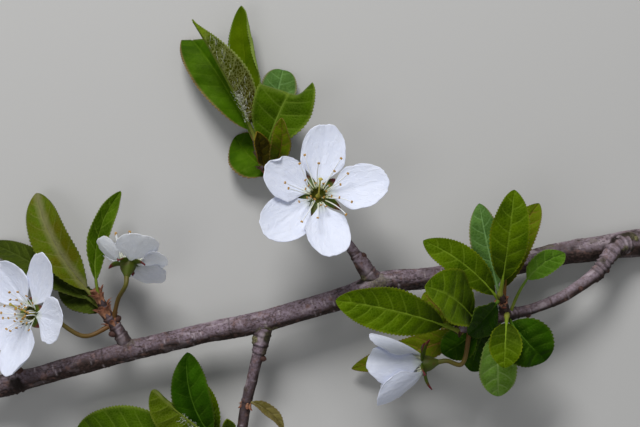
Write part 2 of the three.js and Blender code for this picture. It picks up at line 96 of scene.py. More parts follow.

# What stands out of each limb's bark: a point near it, the way it looks from the limb's middle, how far it
# runs along and round the limb, how high it stands and how dark and how crusted it is.
# The darkness of the knobs at the forks, some of them sunk or flat, is painted shade in the crevices where
# the limbs join.
KNOBS = {
    "main_branch": [
        ((59.4, -7.1, 3.6), (0, 0.0, 1), 1.9, 1.5, -0.3, 1.0, 0.0),
        ((61.4, -6.9, 3.3), (0, 0.62, 0.8), 2.2, 1.3, -0.3, 1.0, 0.0),
        ((63.6, -6.6, 3.1), (0, 0.75, 0.7), 2.2, 1.3, 0.2, 1.0, 0.1),
        ((65.0, -6.4, 3.0), (0, 0.5, 0.85), 1.5, 1.5, 0.45, 0.95, 0.3),
        ((65.6, -6.3, 3.0), (0, 0.3, 1), 0.8, 0.7, 0.3, 0.5, 0.9),
        ((66.8, -6.3, 3.0), (0, -0.6, 0.8), 1.5, 2.0, 0.0, 1.0, 0.0),
        ((57.0, -7.4, 3.8), (0, 0.7, 0.7), 1.6, 1.2, 0.2, 0.2, 0.2),
        ((66.6, -6.3, 3.0), (0, 0.8, 0.6), 2.4, 2.2, 0.25, 0.0, 0.0),
        ((54.0, -8.0, 4.1), (0, 1, 0.2), 2.0, 1.4, 0.2, 0.2, 0.1),
        ((47.5, -9.0, 4.7), (0, 0.9, 0.5), 2.6, 1.4, 0.22, 0.1, 0.35),
        ((22.4, -13.2, 7.1), (0, 0.7, 0.7), 1.8, 1.2, 0.18, 0.2, 0.0),
        ((12.2, -15.3, 8.5), (-0.2, 0.2, 1), 3.4, 2.6, 0.35, 0.5, 0.35),
        ((9.4, -16.4, 8.8), (0, -1, 0.2), 2.2, 1.6, 0.3, 0.4, 0.2),
        ((-11.4, -22.4, 9.3), (0, -1, 0.4), 3.0, 2.2, 0.35, 0.3, 0.5),
        ((-39.0, -28.2, 8.1), (0, 0.9, 0.5), 3.2, 2.0, 0.3, 0.3, 0.2),
        ((-62.4, -34.9, 6.5), (0, -0.2, 1), 2.7, 2.4, 0.35, 1.0, 0.0),
        ((-66.2, -35.9, 6.3), (0, 0.9, 0.5), 2.2, 1.6, 0.35, 0.6, 0.1),
        ((9.0, -15.8, 8.8), (-0.2, 0.9, 0.6), 2.4, 1.3, -0.1, 1.0, 0.0),
    ],
    "upper_twig": [
        ((8.6, -10.4, 9.9), (0.9, 0.7, 0.6), 2.0, 1.6, 0.5, 0.0, 0.0),
        ((9.6, -12.6, 9.5), (-0.9, -0.3, 0.5), 1.8, 1.4, 0.3, 0.5, 0.5),
        ((10.9, -13.2, 9.2), (-0.8, -0.2, 0.6), 1.8, 2.4, 0.1, 1.0, 0.1),
        ((5.4, -5.9, 9.6), (-0.8, -0.5, 0.6), 1.0, 0.9, 0.2, 0.5, 0.0),
    ],
    "lower_twig": [
        ((-11.8, -26.0, 9.4), (-0.9, 0, 0.5), 1.8, 1.5, 0.35, 0.2, 0.8),
        ((-12.2, -28.2, 9.2), (0.9, 0, 0.6), 1.3, 1.1, 0.35, 0.5, 0.2),
        ((-11.0, -25.4, 9.6), (0.7, 0.3, 0.7), 1.9, 1.7, 0.1, 1.0, 0.2),
        ((-14.0, -36.4, 8.1), (-0.9, 0, 0.6), 1.0, 1.0, 0.2, 0.5, 0.1),
    ],
    "right_twig": [
        ((61.6, -7.0, 6.1), (-0.3, 1, 0.3), 2.6, 1.3, -0.1, 1.0, 0.0),
        ((64.2, -6.3, 4.5), (-0.2, 1, 0.4), 2.2, 1.5, -0.1, 1.0, 0.1),
        ((64.6, -6.2, 4.1), (0.4, -0.5, 0.8), 2.0, 2.6, 0.1, 1.0, 0.1),
        ((62.0, -6.9, 5.9), (0.3, -0.4, 1), 1.4, 0.9, 0.3, 0.6, 0.5),
        ((60.2, -8.2, 6.9), (0.9, -0.6, 0.5), 1.6, 1.2, 0.35, 0.8, 0.2),
        ((58.4, -10.4, 7.7), (-0.6, -0.2, 0.8), 1.4, 1.1, 0.3, 0.7, 0.2),
        ((57.0, -12.4, 8.3), (0.6, -0.8, 0.4), 1.4, 1.1, 0.4, 0.6, 0.0),
        ((38.6, -20.2, 14.2), (0.2, -0.6, 0.9), 2.2, 1.8, 0.35, 0.95, 0.0),
        ((33.4, -21.8, 16.4), (0, 0, 1), 3.6, 2.6, 0.0, 0.9, 0.0),
    ],
}

# Rings left round each limb by each year's bud, as a point near the ring and its height.
RINGS = {
    "right_twig": [
        ((63.6, -6.3, 4.8), 0.3), ((62.6, -6.6, 5.5), 0.34), ((61.6, -7.0, 6.1), 0.28),
        ((60.6, -7.8, 6.6), 0.26), ((59.1, -9.5, 7.2), 0.2), ((58.3, -10.3, 7.6), 0.26),
        ((57.6, -10.9, 7.9), 0.24), ((56.9, -11.6, 8.1), 0.18), ((47.0, -17.1, 10.9), 0.08),
        ((40.0, -19.8, 13.5), 0.14), ((36.6, -20.9, 15.0), 0.16), ((31.0, -22.5, 17.4), 0.12),
    ],
    "upper_twig": [
        ((9.9, -12.2, 9.5), 0.18), ((7.6, -8.8, 9.9), 0.16), ((-9.6, 7.7, 8.0), 0.14),
        ((-10.6, 8.6, 8.0), 0.16), ((-11.4, 9.9, 8.0), 0.16),
    ],
    "lower_twig": [
        ((-11.8, -24.9, 9.4), 0.16), ((-11.9, -26.9, 9.3), 0.2), ((-12.2, -28.6, 9.2), 0.16),
        ((-14.6, -38.8, 7.7), 0.1), ((-16.6, -45.6, 6.8), 0.14),
    ],
    "left_spur": [
        ((-41.0, -25.0, 8.6), 0.16), ((-42.2, -23.2, 9.0), 0.18), ((-43.4, -21.4, 9.4), 0.18),
        ((-44.4, -19.4, 9.8), 0.14),
    ],
    "right_shoot": [
        ((37.1, -18.9, 16.4), 0.12),
    ],
    "main_branch": [
        ((34.0, -11.6, 6.0), 0.1), ((-18.0, -23.5, 9.2), 0.08), ((-44.0, -29.6, 7.8), 0.08),
        ((-62.0, -34.7, 6.5), 0.22), ((-63.2, -35.1, 6.5), 0.2),
    ],
}
RING_WIDTH, GROOVE_WIDTH, GROOVE_PLACE = 0.22, 0.16, 0.42  # each ring has a groove beside it

# Small side buds: limb, a point near it, the way it points, its length and its radius.
BUDS = [
    ("right_twig", (57.2, -12.6, 8.2), (-0.3, -1, 0.1), 0.6, 0.62),
    ("right_twig", (59.0, -11.0, 7.6), (0.3, -1, 0.1), 0.5, 0.55),
    ("right_twig", (53.0, -14.8, 9.3), (0.2, -0.4, 1), 0.5, 0.5),
    ("right_twig", (42.4, -19.2, 12.6), (-0.4, -1, 0.3), 0.5, 0.6),
    ("upper_twig", (8.0, -9.6, 9.9), (0.7, 0.9, 0.3), 0.6, 0.8),
    ("upper_twig", (1.4, -1.6, 9.0), (0.8, 0.8, -0.1), 1.0, 0.65),
    ("lower_twig", (-12.3, -29.6, 9.0), (0.9, -0.5, 0.3), 0.8, 0.62),
    ("left_spur", (-41.4, -24.4, 8.8), (-0.9, 0.1, 0.3), 0.9, 0.7),
    ("left_spur", (-42.8, -22.2, 9.3), (0.9, 0.3, 0.1), 1.0, 0.75),
    ("main_branch", (-61.6, -34.8, 6.6), (-0.4, 1, 0.3), 1.1, 0.9),
]

# Crowns of dry bud scales by limb: a point near the crown, how many scales, their length and their look.
SCALES = {
    "upper_twig": [
        ((-9.4, 7.6, 8.1), 9, 1.6, "brown"), ((-10.9, 8.8, 8.0), 10, 1.9, "brown"),
        ((-12.2, 11.8, 8.1), 8, 1.6, "brown"), ((-2.0, 1.2, 8.6), 7, 1.3, "brown"),
    ],
    "lower_twig": [
        ((-14.6, -38.9, 7.7), 8, 1.5, "pink"), ((-16.8, -45.7, 6.8), 9, 1.7, "brown"),
        ((-20.0, -48.0, 6.8), 9, 1.8, "brown"),
    ],
    "right_twig": [
        ((38.6, -20.3, 14.1), 10, 1.8, "brown"), ((36.0, -21.1, 15.3), 11, 2.0, "brown"),
        ((32.0, -22.2, 17.0), 9, 1.8, "brown"), ((28.4, -23.3, 18.6), 8, 1.6, "brown"),
    ],
    "right_shoot": [
        ((36.8, -18.0, 17.2), 9, 1.7, "pink"),
    ],
    "left_spur": [
        ((-42.4, -22.9, 9.1), 9, 2.2, "pink"), ((-43.9, -20.6, 9.6), 11, 2.6, "pink"),
        ((-45.1, -17.9, 10.1), 12, 2.8, "pink"),
    ],
}
SCALE_WIDTH = 0.62  # for each millimetre of its length
# The rows and columns of the small parts' meshes.
CUT_GRID, SCALE_GRID, BUD_GRID, PETAL_GRID, SEPAL_GRID = (26, 72), (9, 7), (40, 28), (44, 49), (22, 13)

# Blooms: how far the stamens spread, where 1 is flat open, the centre of the green cup's rim, the way the
# bloom faces, how far the petals' edges curl up, the stalk's first points and each petal's angle round the
# axis, length, width and rise in degrees. Some have the way their stamens stand, where it isn't the way
# the bloom faces, and the length of their sepals, where it isn't 4.
BLOOMS = {
    "middle_bloom": {
        "open": 1.0,
        "middle": (-0.3, 3.7, 18.5), "axis": (0.09, 0.26, 0.96), "cup": 0.18,
        "stalk": [(-1.6, 0.9, 8.6), (-1.8, 1.8, 12.0)],
        "petals": [(84.5, 13.2, 8.9, 14), (12, 12.8, 9.0, 12), (-76, 12.5, 8.6, 14),
                   (-141, 13.1, 9.6, 12), (158, 11.2, 8.8, 20)],
        "stamens": (0.03, 0.09, 1.0),
    },
    "left_bloom": {
        "open": 0.62,
        "middle": (-58.6, -20.2, 16.0), "axis": (-0.6, 0.05, 0.8), "cup": 0.18,
        "stalk": [(-42.6, -22.8, 9.2), (-48.3, -25.1, 11.0)],
        "sepals": 2.0,
        "petals": [(57, 12.8, 8.2, 14), (124, 11.2, 8.8, 16), (-157, 11.2, 8.6, 14),
                   (-101, 11.8, 8.2, 20), (-9, 12.6, 9.2, 18)],
        "stamens": (-0.3, 0.03, 1.0),
    },
    "back_bloom": {
        "open": 0.8,
        "middle": (-38.9, -10.0, 14.4), "axis": (0.05, 0.85, -0.4), "cup": 0.2,
        "stalk": [(-42.6, -22.4, 9.2), (-41.2, -17.6, 12.4)],
        "sepals": 2.8,
        "petals": [(206, 6.6, 6.4, 36), (292, 8.2, 8.6, 20), (10, 6.7, 9.2, 8),
                   (46, 7.6, 8.8, -10), (112, 8.2, 8.4, 36)],
    },
    "low_bloom": {
        "open": 0.45,
        "middle": (20.9, -30.4, 15.5), "axis": (-0.95, -0.14, -0.2), "cup": 0.36,
        "stalk": [(30.2, -22.8, 17.8), (28.4, -30.2, 18.6)],
        "petals": [(16, 11.4, 8.4, 66), (88, 11.6, 8.6, 58), (160, 11.4, 8.4, 66),
                   (232, 11.6, 8.6, 58), (304, 11.4, 8.4, 62)],
    },
}
CUP_DEPTH, PETAL_ROOT_RADIUS, STALK_RADIUS = 3.0, 1.5, 0.5
PETAL_BOW = 0.06  # how far a petal bows down, for each millimetre of its length
CLAW = 0.11  # the width of a petal at its foot, as a share of its widest
PETAL_SKIN, SEPAL_SKIN = 0.11, 0.11  # half their thickness
RUFFLE, DISH, FURROW = 0.22, 0.24, 0.14  # how uneven a petal is, at its margin, all over and at its foot
SEPAL_HALF = 1.1  # half a sepal's width
FILAMENT_RADIUS = 0.13
STYLE_LENGTH = 6.4
CUP_COLUMNS = 40
PIECE_GAP = 0.3  # between pieces that grow from each other
EGG_BUMPS = 0.12  # how uneven anthers and stigmas are
POLE = 0.08  # the angle of their first and last rings

# The outline of the green cup, from its foot over its rim to its floor: radius, and height in cups.
CUP_PROFILE = np.array([
    (0.50, -1.06), (0.62, -1.0), (0.80, -0.86), (1.20, -0.66), (1.52, -0.44), (1.66, -0.22), (1.72, -0.06),
    (1.74, 0.02), (1.62, 0.04), (1.50, -0.02), (1.30, -0.16), (1.0, -0.30), (0.55, -0.38), (0.08, -0.40),
])
CUP_INSIDE = 9  # the outline's first row on the cup's inner side

# Where a bloom's anthers stand: the angle round the axis and how far out, and how high above the rim.
ANTHERS = [
    (110, 8.3, 3.6), (91, 6.0, 5.0), (59, 8.6, 3.2), (56, 5.4, 5.0), (36, 7.1, 3.8), (23, 4.6, 4.6),
    (-13, 4.1, 5.0), (-14, 6.7, 3.8), (-38, 6.8, 3.4), (-93, 5.1, 4.4), (-120, 6.8, 3.6), (-154, 4.4, 4.6),
    (164, 7.0, 4.2), (173, 6.1, 4.6), (138, 3.7, 5.0), (123, 7.1, 4.0), (164, 2.8, 4.0), (108, 2.2, 3.4),
    (66, 2.2, 3.6), (18, 1.6, 2.8), (-79, 2.4, 3.2), (-31, 0.9, 1.6), (-125, 1.4, 2.2), (142, 2.6, 2.6),
    (-60, 2.9, 2.4), (-160, 2.5, 2.6), (80, 3.0, 3.0), (-8, 2.6, 2.2), (200, 1.7, 2.0), (40, 2.7, 2.6),
]

# Leaves. Each row is where its stalk leaves its limb, the blade's tip, the blade's width laid flat, the way
# its upper side looks, how many degrees each half is raised, how far the midrib bows up, how far the point
# curls down, or up below 0, how far the midrib bows to the right, and the leaf's look.
LEAVES = {
    "upper_leaf_outer": (
        (-12.8, 13.5, 8.2), (-28.7, 38.8, 2.5), 9.8, (-0.1, 0.05, 1), 11, 0.9, 1.6, 1.1, "smooth"),
    "upper_leaf_folded": (
        (-13.2, 15.3, 9.4), (-25.9, 39.3, 14.8), 9.3, (0.8, 0.43, -0.42), 66, 0.6, 0, 0, "woolly"),
    "upper_leaf_top": (
        (-12.6, 14.6, 8.0), (-16.4, 43.1, 6.0), 7.0, (-0.3, 0.1, 1), 16, -2.5, 0, -1.5, "sleek"),
    "upper_leaf_back": (
        (-11.9, 11.8, 7.6), (-7.4, 31.6, 2.6), 7.4, (0, -0.1, 1), 10, -1.0, 2.0, 0, "blue"),
    "upper_leaf_broad": (
        (-11.9, 10.8, 8.6), (-4.0, 29.0, 11.4), 12.6, (-0.1, -0.2, 1), 18, 1.0, 0, -0.6, "fresh"),
    "upper_leaf_low": (
        (-8.8, 7.2, 6.8), (-18.0, 16.4, 1.4), 9.0, (0, 0.1, 1), 6, 0, 0.4, -0.8, "smooth"),
    "upper_leaflet_brown": (
        (-11.3, 8.8, 8.6), (-12.8, 16.6, 15.0), 4.2, (0.5, -0.2, 1), 35, 0, 0, 0, "brown"),
    "upper_leaflet_green": (
        (-10.2, 8.0, 8.5), (-7.7, 19.3, 16.0), 4.6, (-0.2, -0.4, 1), 30, 0.6, 0, 1.1, "flushed"),
    "lower_leaf_upright": (
        (-20.6, -48.0, 7.3), (-27.4, -28.4, 9.6), 7.9, (0.1, -0.1, 1), 12, 1.4, 0.4, -2.3, "deep"),
    "lower_leaf_back": (
        (-20.9, -48.2, 6.3), (-25.6, -34.6, 3.6), 4.6, (0.3, 0, 1), 14, 0.4, 0, 0, "bright"),
    "lower_leaf_ridged": (
        (-20.0, -48.2, 7.8), (-34.2, -36.0, 14.0), 10.2, (-0.435, -0.523, -0.733), 40, 0.4, 0, 0, "ridged"),
    "lower_leaf_wide": (
        (-21.2, -48.4, 6.6), (-53.0, -47.0, 1.3), 14.6, (-0.1, 0.1, 1), 10, 2.0, 1.6, 0, "fresh"),
    "lower_leaflet": (
        (-18.6, -47.3, 7.2), (-19.0, -42.0, 11.6), 3.4, (0.2, -0.4, 1), 25, 0, 0, 0, "bright"),
    "lower_bud_leaf": (
        (-14.7, -38.8, 8.0), (-7.5, -44.4, 10.4), 3.2, (0.3, 0.4, 1), 44, 0.9, 0, -0.6, "olive"),
    "left_leaf_long": (
        (-45.0, -18.6, 10.0), (-59.6, 4.8, 4.6), 8.4, (0, 0.1, 1), 24, 1.4, 1.0, -2.0, "banded"),
    "left_leaf_narrow": (
        (-45.4, -17.0, 10.3), (-41.0, 5.0, 8.6), 4.8, (0.2, 0.1, 1), 30, 0.4, 0.6, -2.6, "fresh"),
    "left_leaf_low": (
        (-44.2, -20.0, 9.6), (-70.0, -5.6, 0.9), 6.0, (0.1, 0.3, 1), 12, 1.4, 1.0, 0.4, "dusky"),
    "left_leaf_dark": (
        (-43.6, -21.2, 9.3), (-54.4, -15.0, 3.4), 5.8, (0, 0.2, 1), 10, 0.6, 0, 0, "dusky"),
    "right_leaf_long": (
        (27.8, -23.5, 19.0), (2.8, -17.0, 26.5), 9.0, (-0.1, -0.1, 1), 12, 1.8, 0.8, 1.1, "bright"),
    "right_leaf_front": (
        (31.4, -22.4, 17.4), (20.6, -14.0, 29.0), 11.4, (0.5, 0.3, 0.8), 14, 1.2, 0.6, 0.8, "bright"),
    "right_leaf_reach": (
        (36.8, -18.6, 16.8), (20.4, -5.2, 22.0), 6.6, (0.1, 0.1, 1), 12, 1.2, 0.6, 1.3, "bright"),
    "right_leaf_blue": (
        (36.3, -17.2, 17.7), (31.9, 2.2, 18.0), 6.4, (-0.3, -0.1, 1), 10, 1.0, 0.4, 0, "blue"),
    "right_leaf_top": (
        (36.1, -16.0, 19.1), (38.2, 4.9, 26.5), 7.8, (0, -0.2, 1), 16, 1.4, 0.8, 0, "bright"),
    "right_leaf_edge": (
        (37.0, -18.0, 17.2), (44.6, 2.4, 14.6), 6.6, (0.2, 0, 1), 14, 1.0, 0.6, -2.2, "flushed"),
    "right_leaf_small": (
        (38.6, -20.2, 14.6), (50.0, -8.1, 11.4), 5.2, (0.2, -0.2, 1), 8, 1.0, 0, -2.7, "grass"),
    "right_leaf_shade": (
        (35.0, -21.5, 15.4), (31.2, -32.6, 6.6), 8.4, (-0.5, -0.5, 0.8), 10, -0.8, 0, 0.8, "deep"),
    "right_leaf_round": (
        (37.8, -20.7, 14.7), (45.7, -29.8, 17.6), 10.2, (-0.1, 0.2, 1), 10, 1.6, 0.8, 0.6, "deep"),
    "right_leaf_under": (
        (36.4, -21.1, 14.7), (36.6, -37.9, 10.6), 7.6, (0, 0.3, 1), 10, 1.4, 0.6, 0.4, "pale"),
    "right_leaf_hidden": (
        (33.8, -21.9, 15.8), (6.6, -32.4, 3.4), 6.2, (-0.1, 0.3, 1), 14, -4.0, 0, 0, "flushed"),
    "right_leaf_stub": (
        (32.4, -22.3, 16.6), (24.8, -28.4, 14.6), 6.8, (0, 0.2, 1), 14, 0.2, 0, -0.6, "deep"),
    "back_leaf_dark": (
        (36.2, -17.0, 18.0), (29.6, -24.4, 19.6), 9.0, (0.25, -0.7, 0.66), 8, 0.5, 0.4, 0.3, "deep"),
    "back_leaf_wedge": (
        (29.0, -23.3, 15.6), (20.8, -16.0, 15.4), 7.4, (0, 0.1, 1), 10, 0.6, 0.4, -0.4, "flushed"),
    "back_leaf_cover": (
        (37.6, -20.9, 17.2), (36.6, -30.8, 21.6), 6.6, (0.1, 0.3, 1), 8, 1.4, 0.4, 0.3, "bright"),
}
# The leaves that fill the right cluster and have no solid of their own in the CAD model.
NO_SOLID = ("back_leaf_dark", "back_leaf_wedge", "back_leaf_cover")
STALK_SHARE = 0.14  # of a leaf's length, unless OTHER_STALKS says otherwise
OTHER_STALKS = {"right_leaf_small": 0.42, "lower_bud_leaf": 0.06}
LEAF_RISE, LEAF_FALL = 0.75, 0.7  # how blunt a leaf's foot and its point are, and 0 is square
# How blunt a leaf's point is, where it isn't LEAF_FALL.
BLUNT = {
    "upper_leaf_outer": 0.6, "upper_leaf_folded": 1.3, "upper_leaf_broad": 0.5, "upper_leaf_back": 0.42,
}
# Where along a leaf its point's curl starts, and how far down and back each millimetre of it takes the
# point.
CURL_START, CURL_DOWN, CURL_BACK = 0.6, 0.8, 0.6
# How far a leaf's side veins raise and sink it, where it isn't 1.
VEIN_RELIEF = {
    "upper_leaf_outer": 0.35, "upper_leaf_top": 0.3, "upper_leaf_low": 0.5, "upper_leaf_back": 0.4,
}
LEAF_SKIN = 0.10  # half a blade's thickness
LEAF_STALK = 0.42  # the radius of a stalk's foot
# How high a leaf rises between its veins, how high its margin's waves are for each millimetre of its width,
# how many it has and how crumpled it is.
QUILT, WAVE_HEIGHT, WAVES, CRUMPLE = 0.16, 0.05, 1.7, 0.10
VEIN_PITCH = 3.0
VEIN_WIDTH, RIB_WIDTH = 0.13, 0.22
VEIN_DEPTH, RIB_DEPTH, VEIN_RIDGE = 0.07, 0.16, 0.10  # in the upper side, and out of the lower one
VEIN_SWEEP = 0.15  # how far towards the tip a side vein has run, in blades, when it meets the margin
TOOTH_PITCH = 0.66
TOOTH_DEPTH = 0.26
TOOTH = np.array([0.0, 0.3, 0.7, 1.0])  # how far each of a tooth's rows stands out
BLADE_COLUMNS = 17  # on each side of the midrib

# The leaves with wool on their lower side: how many hairs lie along the midrib, from where to where on the
# leaf those are, and how many are spread over the rest of it.
WOOL = {
    "upper_leaf_folded": (600, (0.14, 0.38), 110),
    "lower_leaf_ridged": (260, (0.2, 0.56), 0),
}
HAIR_RADII = (0.026, 0.018, 0.005)

# Each leaf's look: upper side, its shaded patches, its veins, its lower side and its margin.
LEAF_LOOKS = {
    "bright": ((80, 104, 2), (52, 77, 0), (116, 140, 36), (112, 134, 52), (104, 116, 18)),
    "fresh": ((66, 94, 4), (46, 70, 2), (104, 126, 40), (104, 126, 56), (112, 128, 48)),
    "banded": ((74, 94, 8), (84, 84, 4), (112, 114, 58), (104, 126, 56), (88, 96, 28)),
    "smooth": ((58, 92, 0), (38, 68, 0), (76, 104, 10), (98, 122, 52), (136, 104, 76)),
    # deep is a darker leaf green, partly the leaves' own colour and partly painted shade for leaves that
    # lie in the shadow of others.
    "deep": ((38, 76, 2), (22, 48, 2), (62, 94, 18), (84, 112, 50), (66, 84, 22)),
    "blue": ((82, 118, 54), (60, 92, 38), (112, 146, 88), (118, 146, 98), (140, 130, 98)),
    "pale": ((112, 150, 60), (86, 122, 34), (150, 176, 104), (140, 166, 104), (132, 150, 80)),
    "sleek": ((84, 106, 2), (66, 90, 2), (104, 122, 16), (122, 142, 70), (126, 144, 66)),
    "brown": ((64, 60, 8), (44, 36, 6), (98, 84, 26), (96, 86, 36), (126, 104, 30)),
    "flushed": ((92, 114, 4), (84, 96, 8), (122, 92, 42), (118, 128, 52), (116, 96, 44)),
    "woolly": ((56, 84, 6), (40, 62, 4), (136, 142, 88), (66, 74, 10), (140, 152, 80)),
    "ridged": ((56, 84, 6), (50, 74, 4), (112, 126, 44), (80, 98, 8), (110, 120, 40)),
    "olive": ((116, 106, 60), (94, 86, 42), (134, 124, 82), (122, 112, 70), (124, 108, 68)),
    "grass": ((88, 128, 32), (66, 102, 18), (112, 146, 56), (110, 140, 60), (110, 138, 52)),
    "dusky": ((54, 66, 15), (42, 54, 8), (74, 86, 32), (76, 84, 36), (72, 76, 32)),
}
# How strongly a leaf's veins show, and the net of small veins between them, where it isn't as usual.
VEINS = {"woolly": (0.6, 0.5), "smooth": (0.3, 0.1), "sleek": (0.2, 0.08), "deep": (0.45, 0.15)}
NET_SCALE = 1.7
# Bands along the midrib: how far to its right, how far from there it fades out and its colour.
BANDS = {
    "banded": (0.35, 1.5, (122, 120, 82)),
    "ridged": (-1.2, 1.5, (126, 136, 62)),
    # The deep leaves' dark band beside the midrib is painted shade.
    "deep": (-0.7, 1.5, (14, 44, 0)),
}


# Numbers and noise


def unit(v):
    return v / np.maximum(np.linalg.norm(v, axis=-1, keepdims=True), 1e-12)


def smoothstep(low, high, x):
    t = np.clip((x - low) / (high - low), 0, 1)
    return t * t * (3 - 2 * t)


def bell(x, width):
    """1 where x is 0, fading to 0 on both sides over about width."""
    return np.exp(-((x / width) ** 2))


def even(count, low=0.0, high=1.0):
    """Even steps from low to high down the rows of a mesh, or across its columns when transposed."""
    return np.linspace(low, high, count)[:, None]


def full_turn(columns):
    """The angle of each column of a ring."""
    return np.linspace(0, 2 * np.pi, columns, endpoint=False)


def around(side, over, angle):
    """The directions at those angles from side, turning towards over."""
    angle = np.asarray(angle)[..., None]
    return side * np.cos(angle) + over * np.sin(angle)


def spread(*axes):
    """Points, from the values of each of their three axes."""
    return np.stack(np.broadcast_arrays(*axes), -1)


def hashed(cells, seed):
    """A repeatable number from 0 to 1 for each row of three whole numbers."""
    mixed = cells[..., 0] * 73856093 + cells[..., 1] * 19349663 + cells[..., 2] * 83492791 + seed * 2654435
    mixed = (mixed ^ (mixed >> 13)) * 1274126177
    mixed = mixed ^ (mixed >> 16)
    return (mixed & 0xFFFFFF) / 0xFFFFFF


def noise(points, size, seed=0):
    """Smooth noise from -1 to 1, with features about as wide as size. Each seed gives another pattern."""
    scaled = np.asarray(points, float) / size
    cell = np.floor(scaled).astype(np.int64)
    part = scaled - cell
    part = part * part * (3 - 2 * part)
    total = 0
    for corner in itertools.product((0, 1), repeat=3):
        weight = np.prod(np.where(corner, part, 1 - part), axis=-1)
        total = total + weight * hashed(cell + np.array(corner), seed)
    return 2 * total - 1


def layered(points, size, layers, seed):
    """Noise with ever finer and weaker layers."""
    return sum(noise(points, size / 2**i, seed + i) / 2**i for i in range(layers))


# Building meshes


def tube_faces(rows, columns):
    """The four-cornered faces of a tube whose points are rows of rings, and its two ends as arrays."""
    first = np.arange((rows - 1) * columns).reshape(rows - 1, columns)
    beside = np.roll(first, -1, axis=1)
    sides = np.stack([first, beside, beside + columns, first + columns], axis=-1).reshape(-1, 4)
    start = np.arange(columns)[None, ::-1]
    return sides, start, (rows - 1) * columns + np.arange(columns)[None]


class Shape:
    """Vertices and faces that are added bit by bit and end as one piece. Lengths are millimetres."""

    def __init__(self):
        self.points, self.faces, self.looks, self.fields = [], [], [], []
        self.count = 0

    def add(self, points, faces, looks=0, **fields):
        """points is a grid, faces are arrays of corners, each with one number of corners, and looks says
        which material each array's faces wear. fields are numbers for each row or point of the grid."""
        grid = points.shape[:-1]
        points = points.reshape(-1, 3)
        looks = [looks] * len(faces) if isinstance(looks, int) else looks
        self.points.append(points)
        self.fields.append({key: np.broadcast_to(value, grid).ravel() for key, value in fields.items()})
        for group, look in zip(faces, looks):
            self.faces.append(group + self.count)
            self.looks.append(look)
        self.count += len(points)

    def tube(self, rings, look=0, **fields):
        """A closed tube through rows of rings."""
        self.add(rings, tube_faces(*rings.shape[:2]), look, **fields)

    def blade(self, upper, lower, faces=None, looks=0, **fields):
        """Rings that run across a blade's upper side and back across its lower one, which has the same
        fields."""
        rings = np.concatenate([upper, lower[:, ::-1]], axis=1)
        for key, value in fields.items():
            value = np.broadcast_to(value, upper.shape[:2])
            fields[key] = np.concatenate([value, value[:, ::-1]], axis=1)
        self.add(rings, faces or tube_faces(*rings.shape[:2]), looks, **fields)

    def piece(self, name, materials, slot, nodes=()):
        points = (np.concatenate(self.points) - TABLE_POINT) * MM
        corners = np.concatenate([group.ravel() for group in self.faces])
        sizes = np.concatenate([np.full(len(group), group.shape[1]) for group in self.faces])
        looks = np.concatenate([np.full(len(g), look) for g, look in zip(self.faces, self.looks)])
        mesh = bpy.data.meshes.new(name)
        mesh.vertices.add(len(points))
        mesh.vertices.foreach_set("co", points.astype(np.float32).ravel())
        mesh.loops.add(len(corners))
        mesh.loops.foreach_set("vertex_index", corners.astype(np.int32))
        mesh.polygons.add(len(sizes))
        mesh.polygons.foreach_set("loop_start", (np.cumsum(sizes) - sizes).astype(np.int32))
        mesh.polygons.foreach_set("material_index", looks.astype(np.int32))
        for material in materials:
            mesh.materials.append(material)
        for field in sorted({key for fields in self.fields for key in fields}):
            values = [f.get(field, np.zeros(len(p))) for f, p in zip(self.fields, self.points)]
            attribute = mesh.attributes.new(field, "FLOAT", "POINT")
            attribute.data.foreach_set("value", np.concatenate(values).astype(np.float32))
        mesh.update(calc_edges=True)
        mesh.shade_smooth()
        piece = bpy.data.objects.new(name, mesh)
        bpy.context.scene.collection.objects.link(piece)
        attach(piece, "root")
        if nodes:
            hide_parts(*nodes)


def smooth_path(rows, step):
    """Points about step apart on a smooth curve through the rows, which may hold more than x, y and z."""
    rows = np.array(rows, float)
    rows = np.concatenate([[2 * rows[0] - rows[1]], rows, [2 * rows[-1] - rows[-2]]])
    share = np.linspace(0, 1, 40, endpoint=False)[:, None]
    dense = []
    for a, b, c, d in zip(rows, rows[1:], rows[2:], rows[3:]):
        before, across, after = (np.linalg.norm((q - p)[:3]) ** 0.5 for p, q in ((a, b), (b, c), (c, d)))
        out = ((b - a) / before - (c - a) / (before + across) + (c - b) / across) * across
        into = ((c - b) / across - (d - b) / (across + after) + (d - c) / after) * across
        curve = b + out * share + (3 * (c - b) - 2 * out - into) * share**2
        curve = curve + (2 * (b - c) + out + into) * share**3
        curve[:, 3:] = b[3:] + (c[3:] - b[3:]) * share
        dense.append(curve)
    dense = np.concatenate([*dense, rows[-2:-1]])
    lengths = np.concatenate([[0], np.cumsum(np.linalg.norm(np.diff(dense[:, :3], axis=0), axis=1))])
    count = max(3, round(lengths[-1] / step))
    wanted = np.linspace(0, lengths[-1], count + 1)
    return np.stack([np.interp(wanted, lengths, column) for column in dense.T], axis=1)


def directions_along(path):
    """A path's direction at each point, and two directions across it that turn with it."""
    ahead = unit(np.gradient(path, axis=0))
    side = np.zeros_like(path)
    side[0] = unit(np.cross(ahead[0], UP if abs(ahead[0][2]) < 0.9 else [1.0, 0.0, 0.0]))
    for i in range(1, len(path)):
        side[i] = unit(side[i - 1] - ahead[i] * (side[i - 1] @ ahead[i]))
    return ahead, side, np.cross(ahead, side)


def limb_line(name):
    """The points and radii along a limb, and the directions along and across it."""
    path = smooth_path(LIMBS[name], LIMB_STEP)
    return path, *directions_along(path[:, :3])


def add_tube(shape, path, radii, sides, look=0, **fields):
    """A round tube with both ends closed."""
    _, across, over = directions_along(path)
    ring = around(across[:, None], over[:, None], full_turn(sides))
    shape.tube(path[:, None] + ring * np.broadcast_to(radii, len(path))[:, None, None], look, **fields)


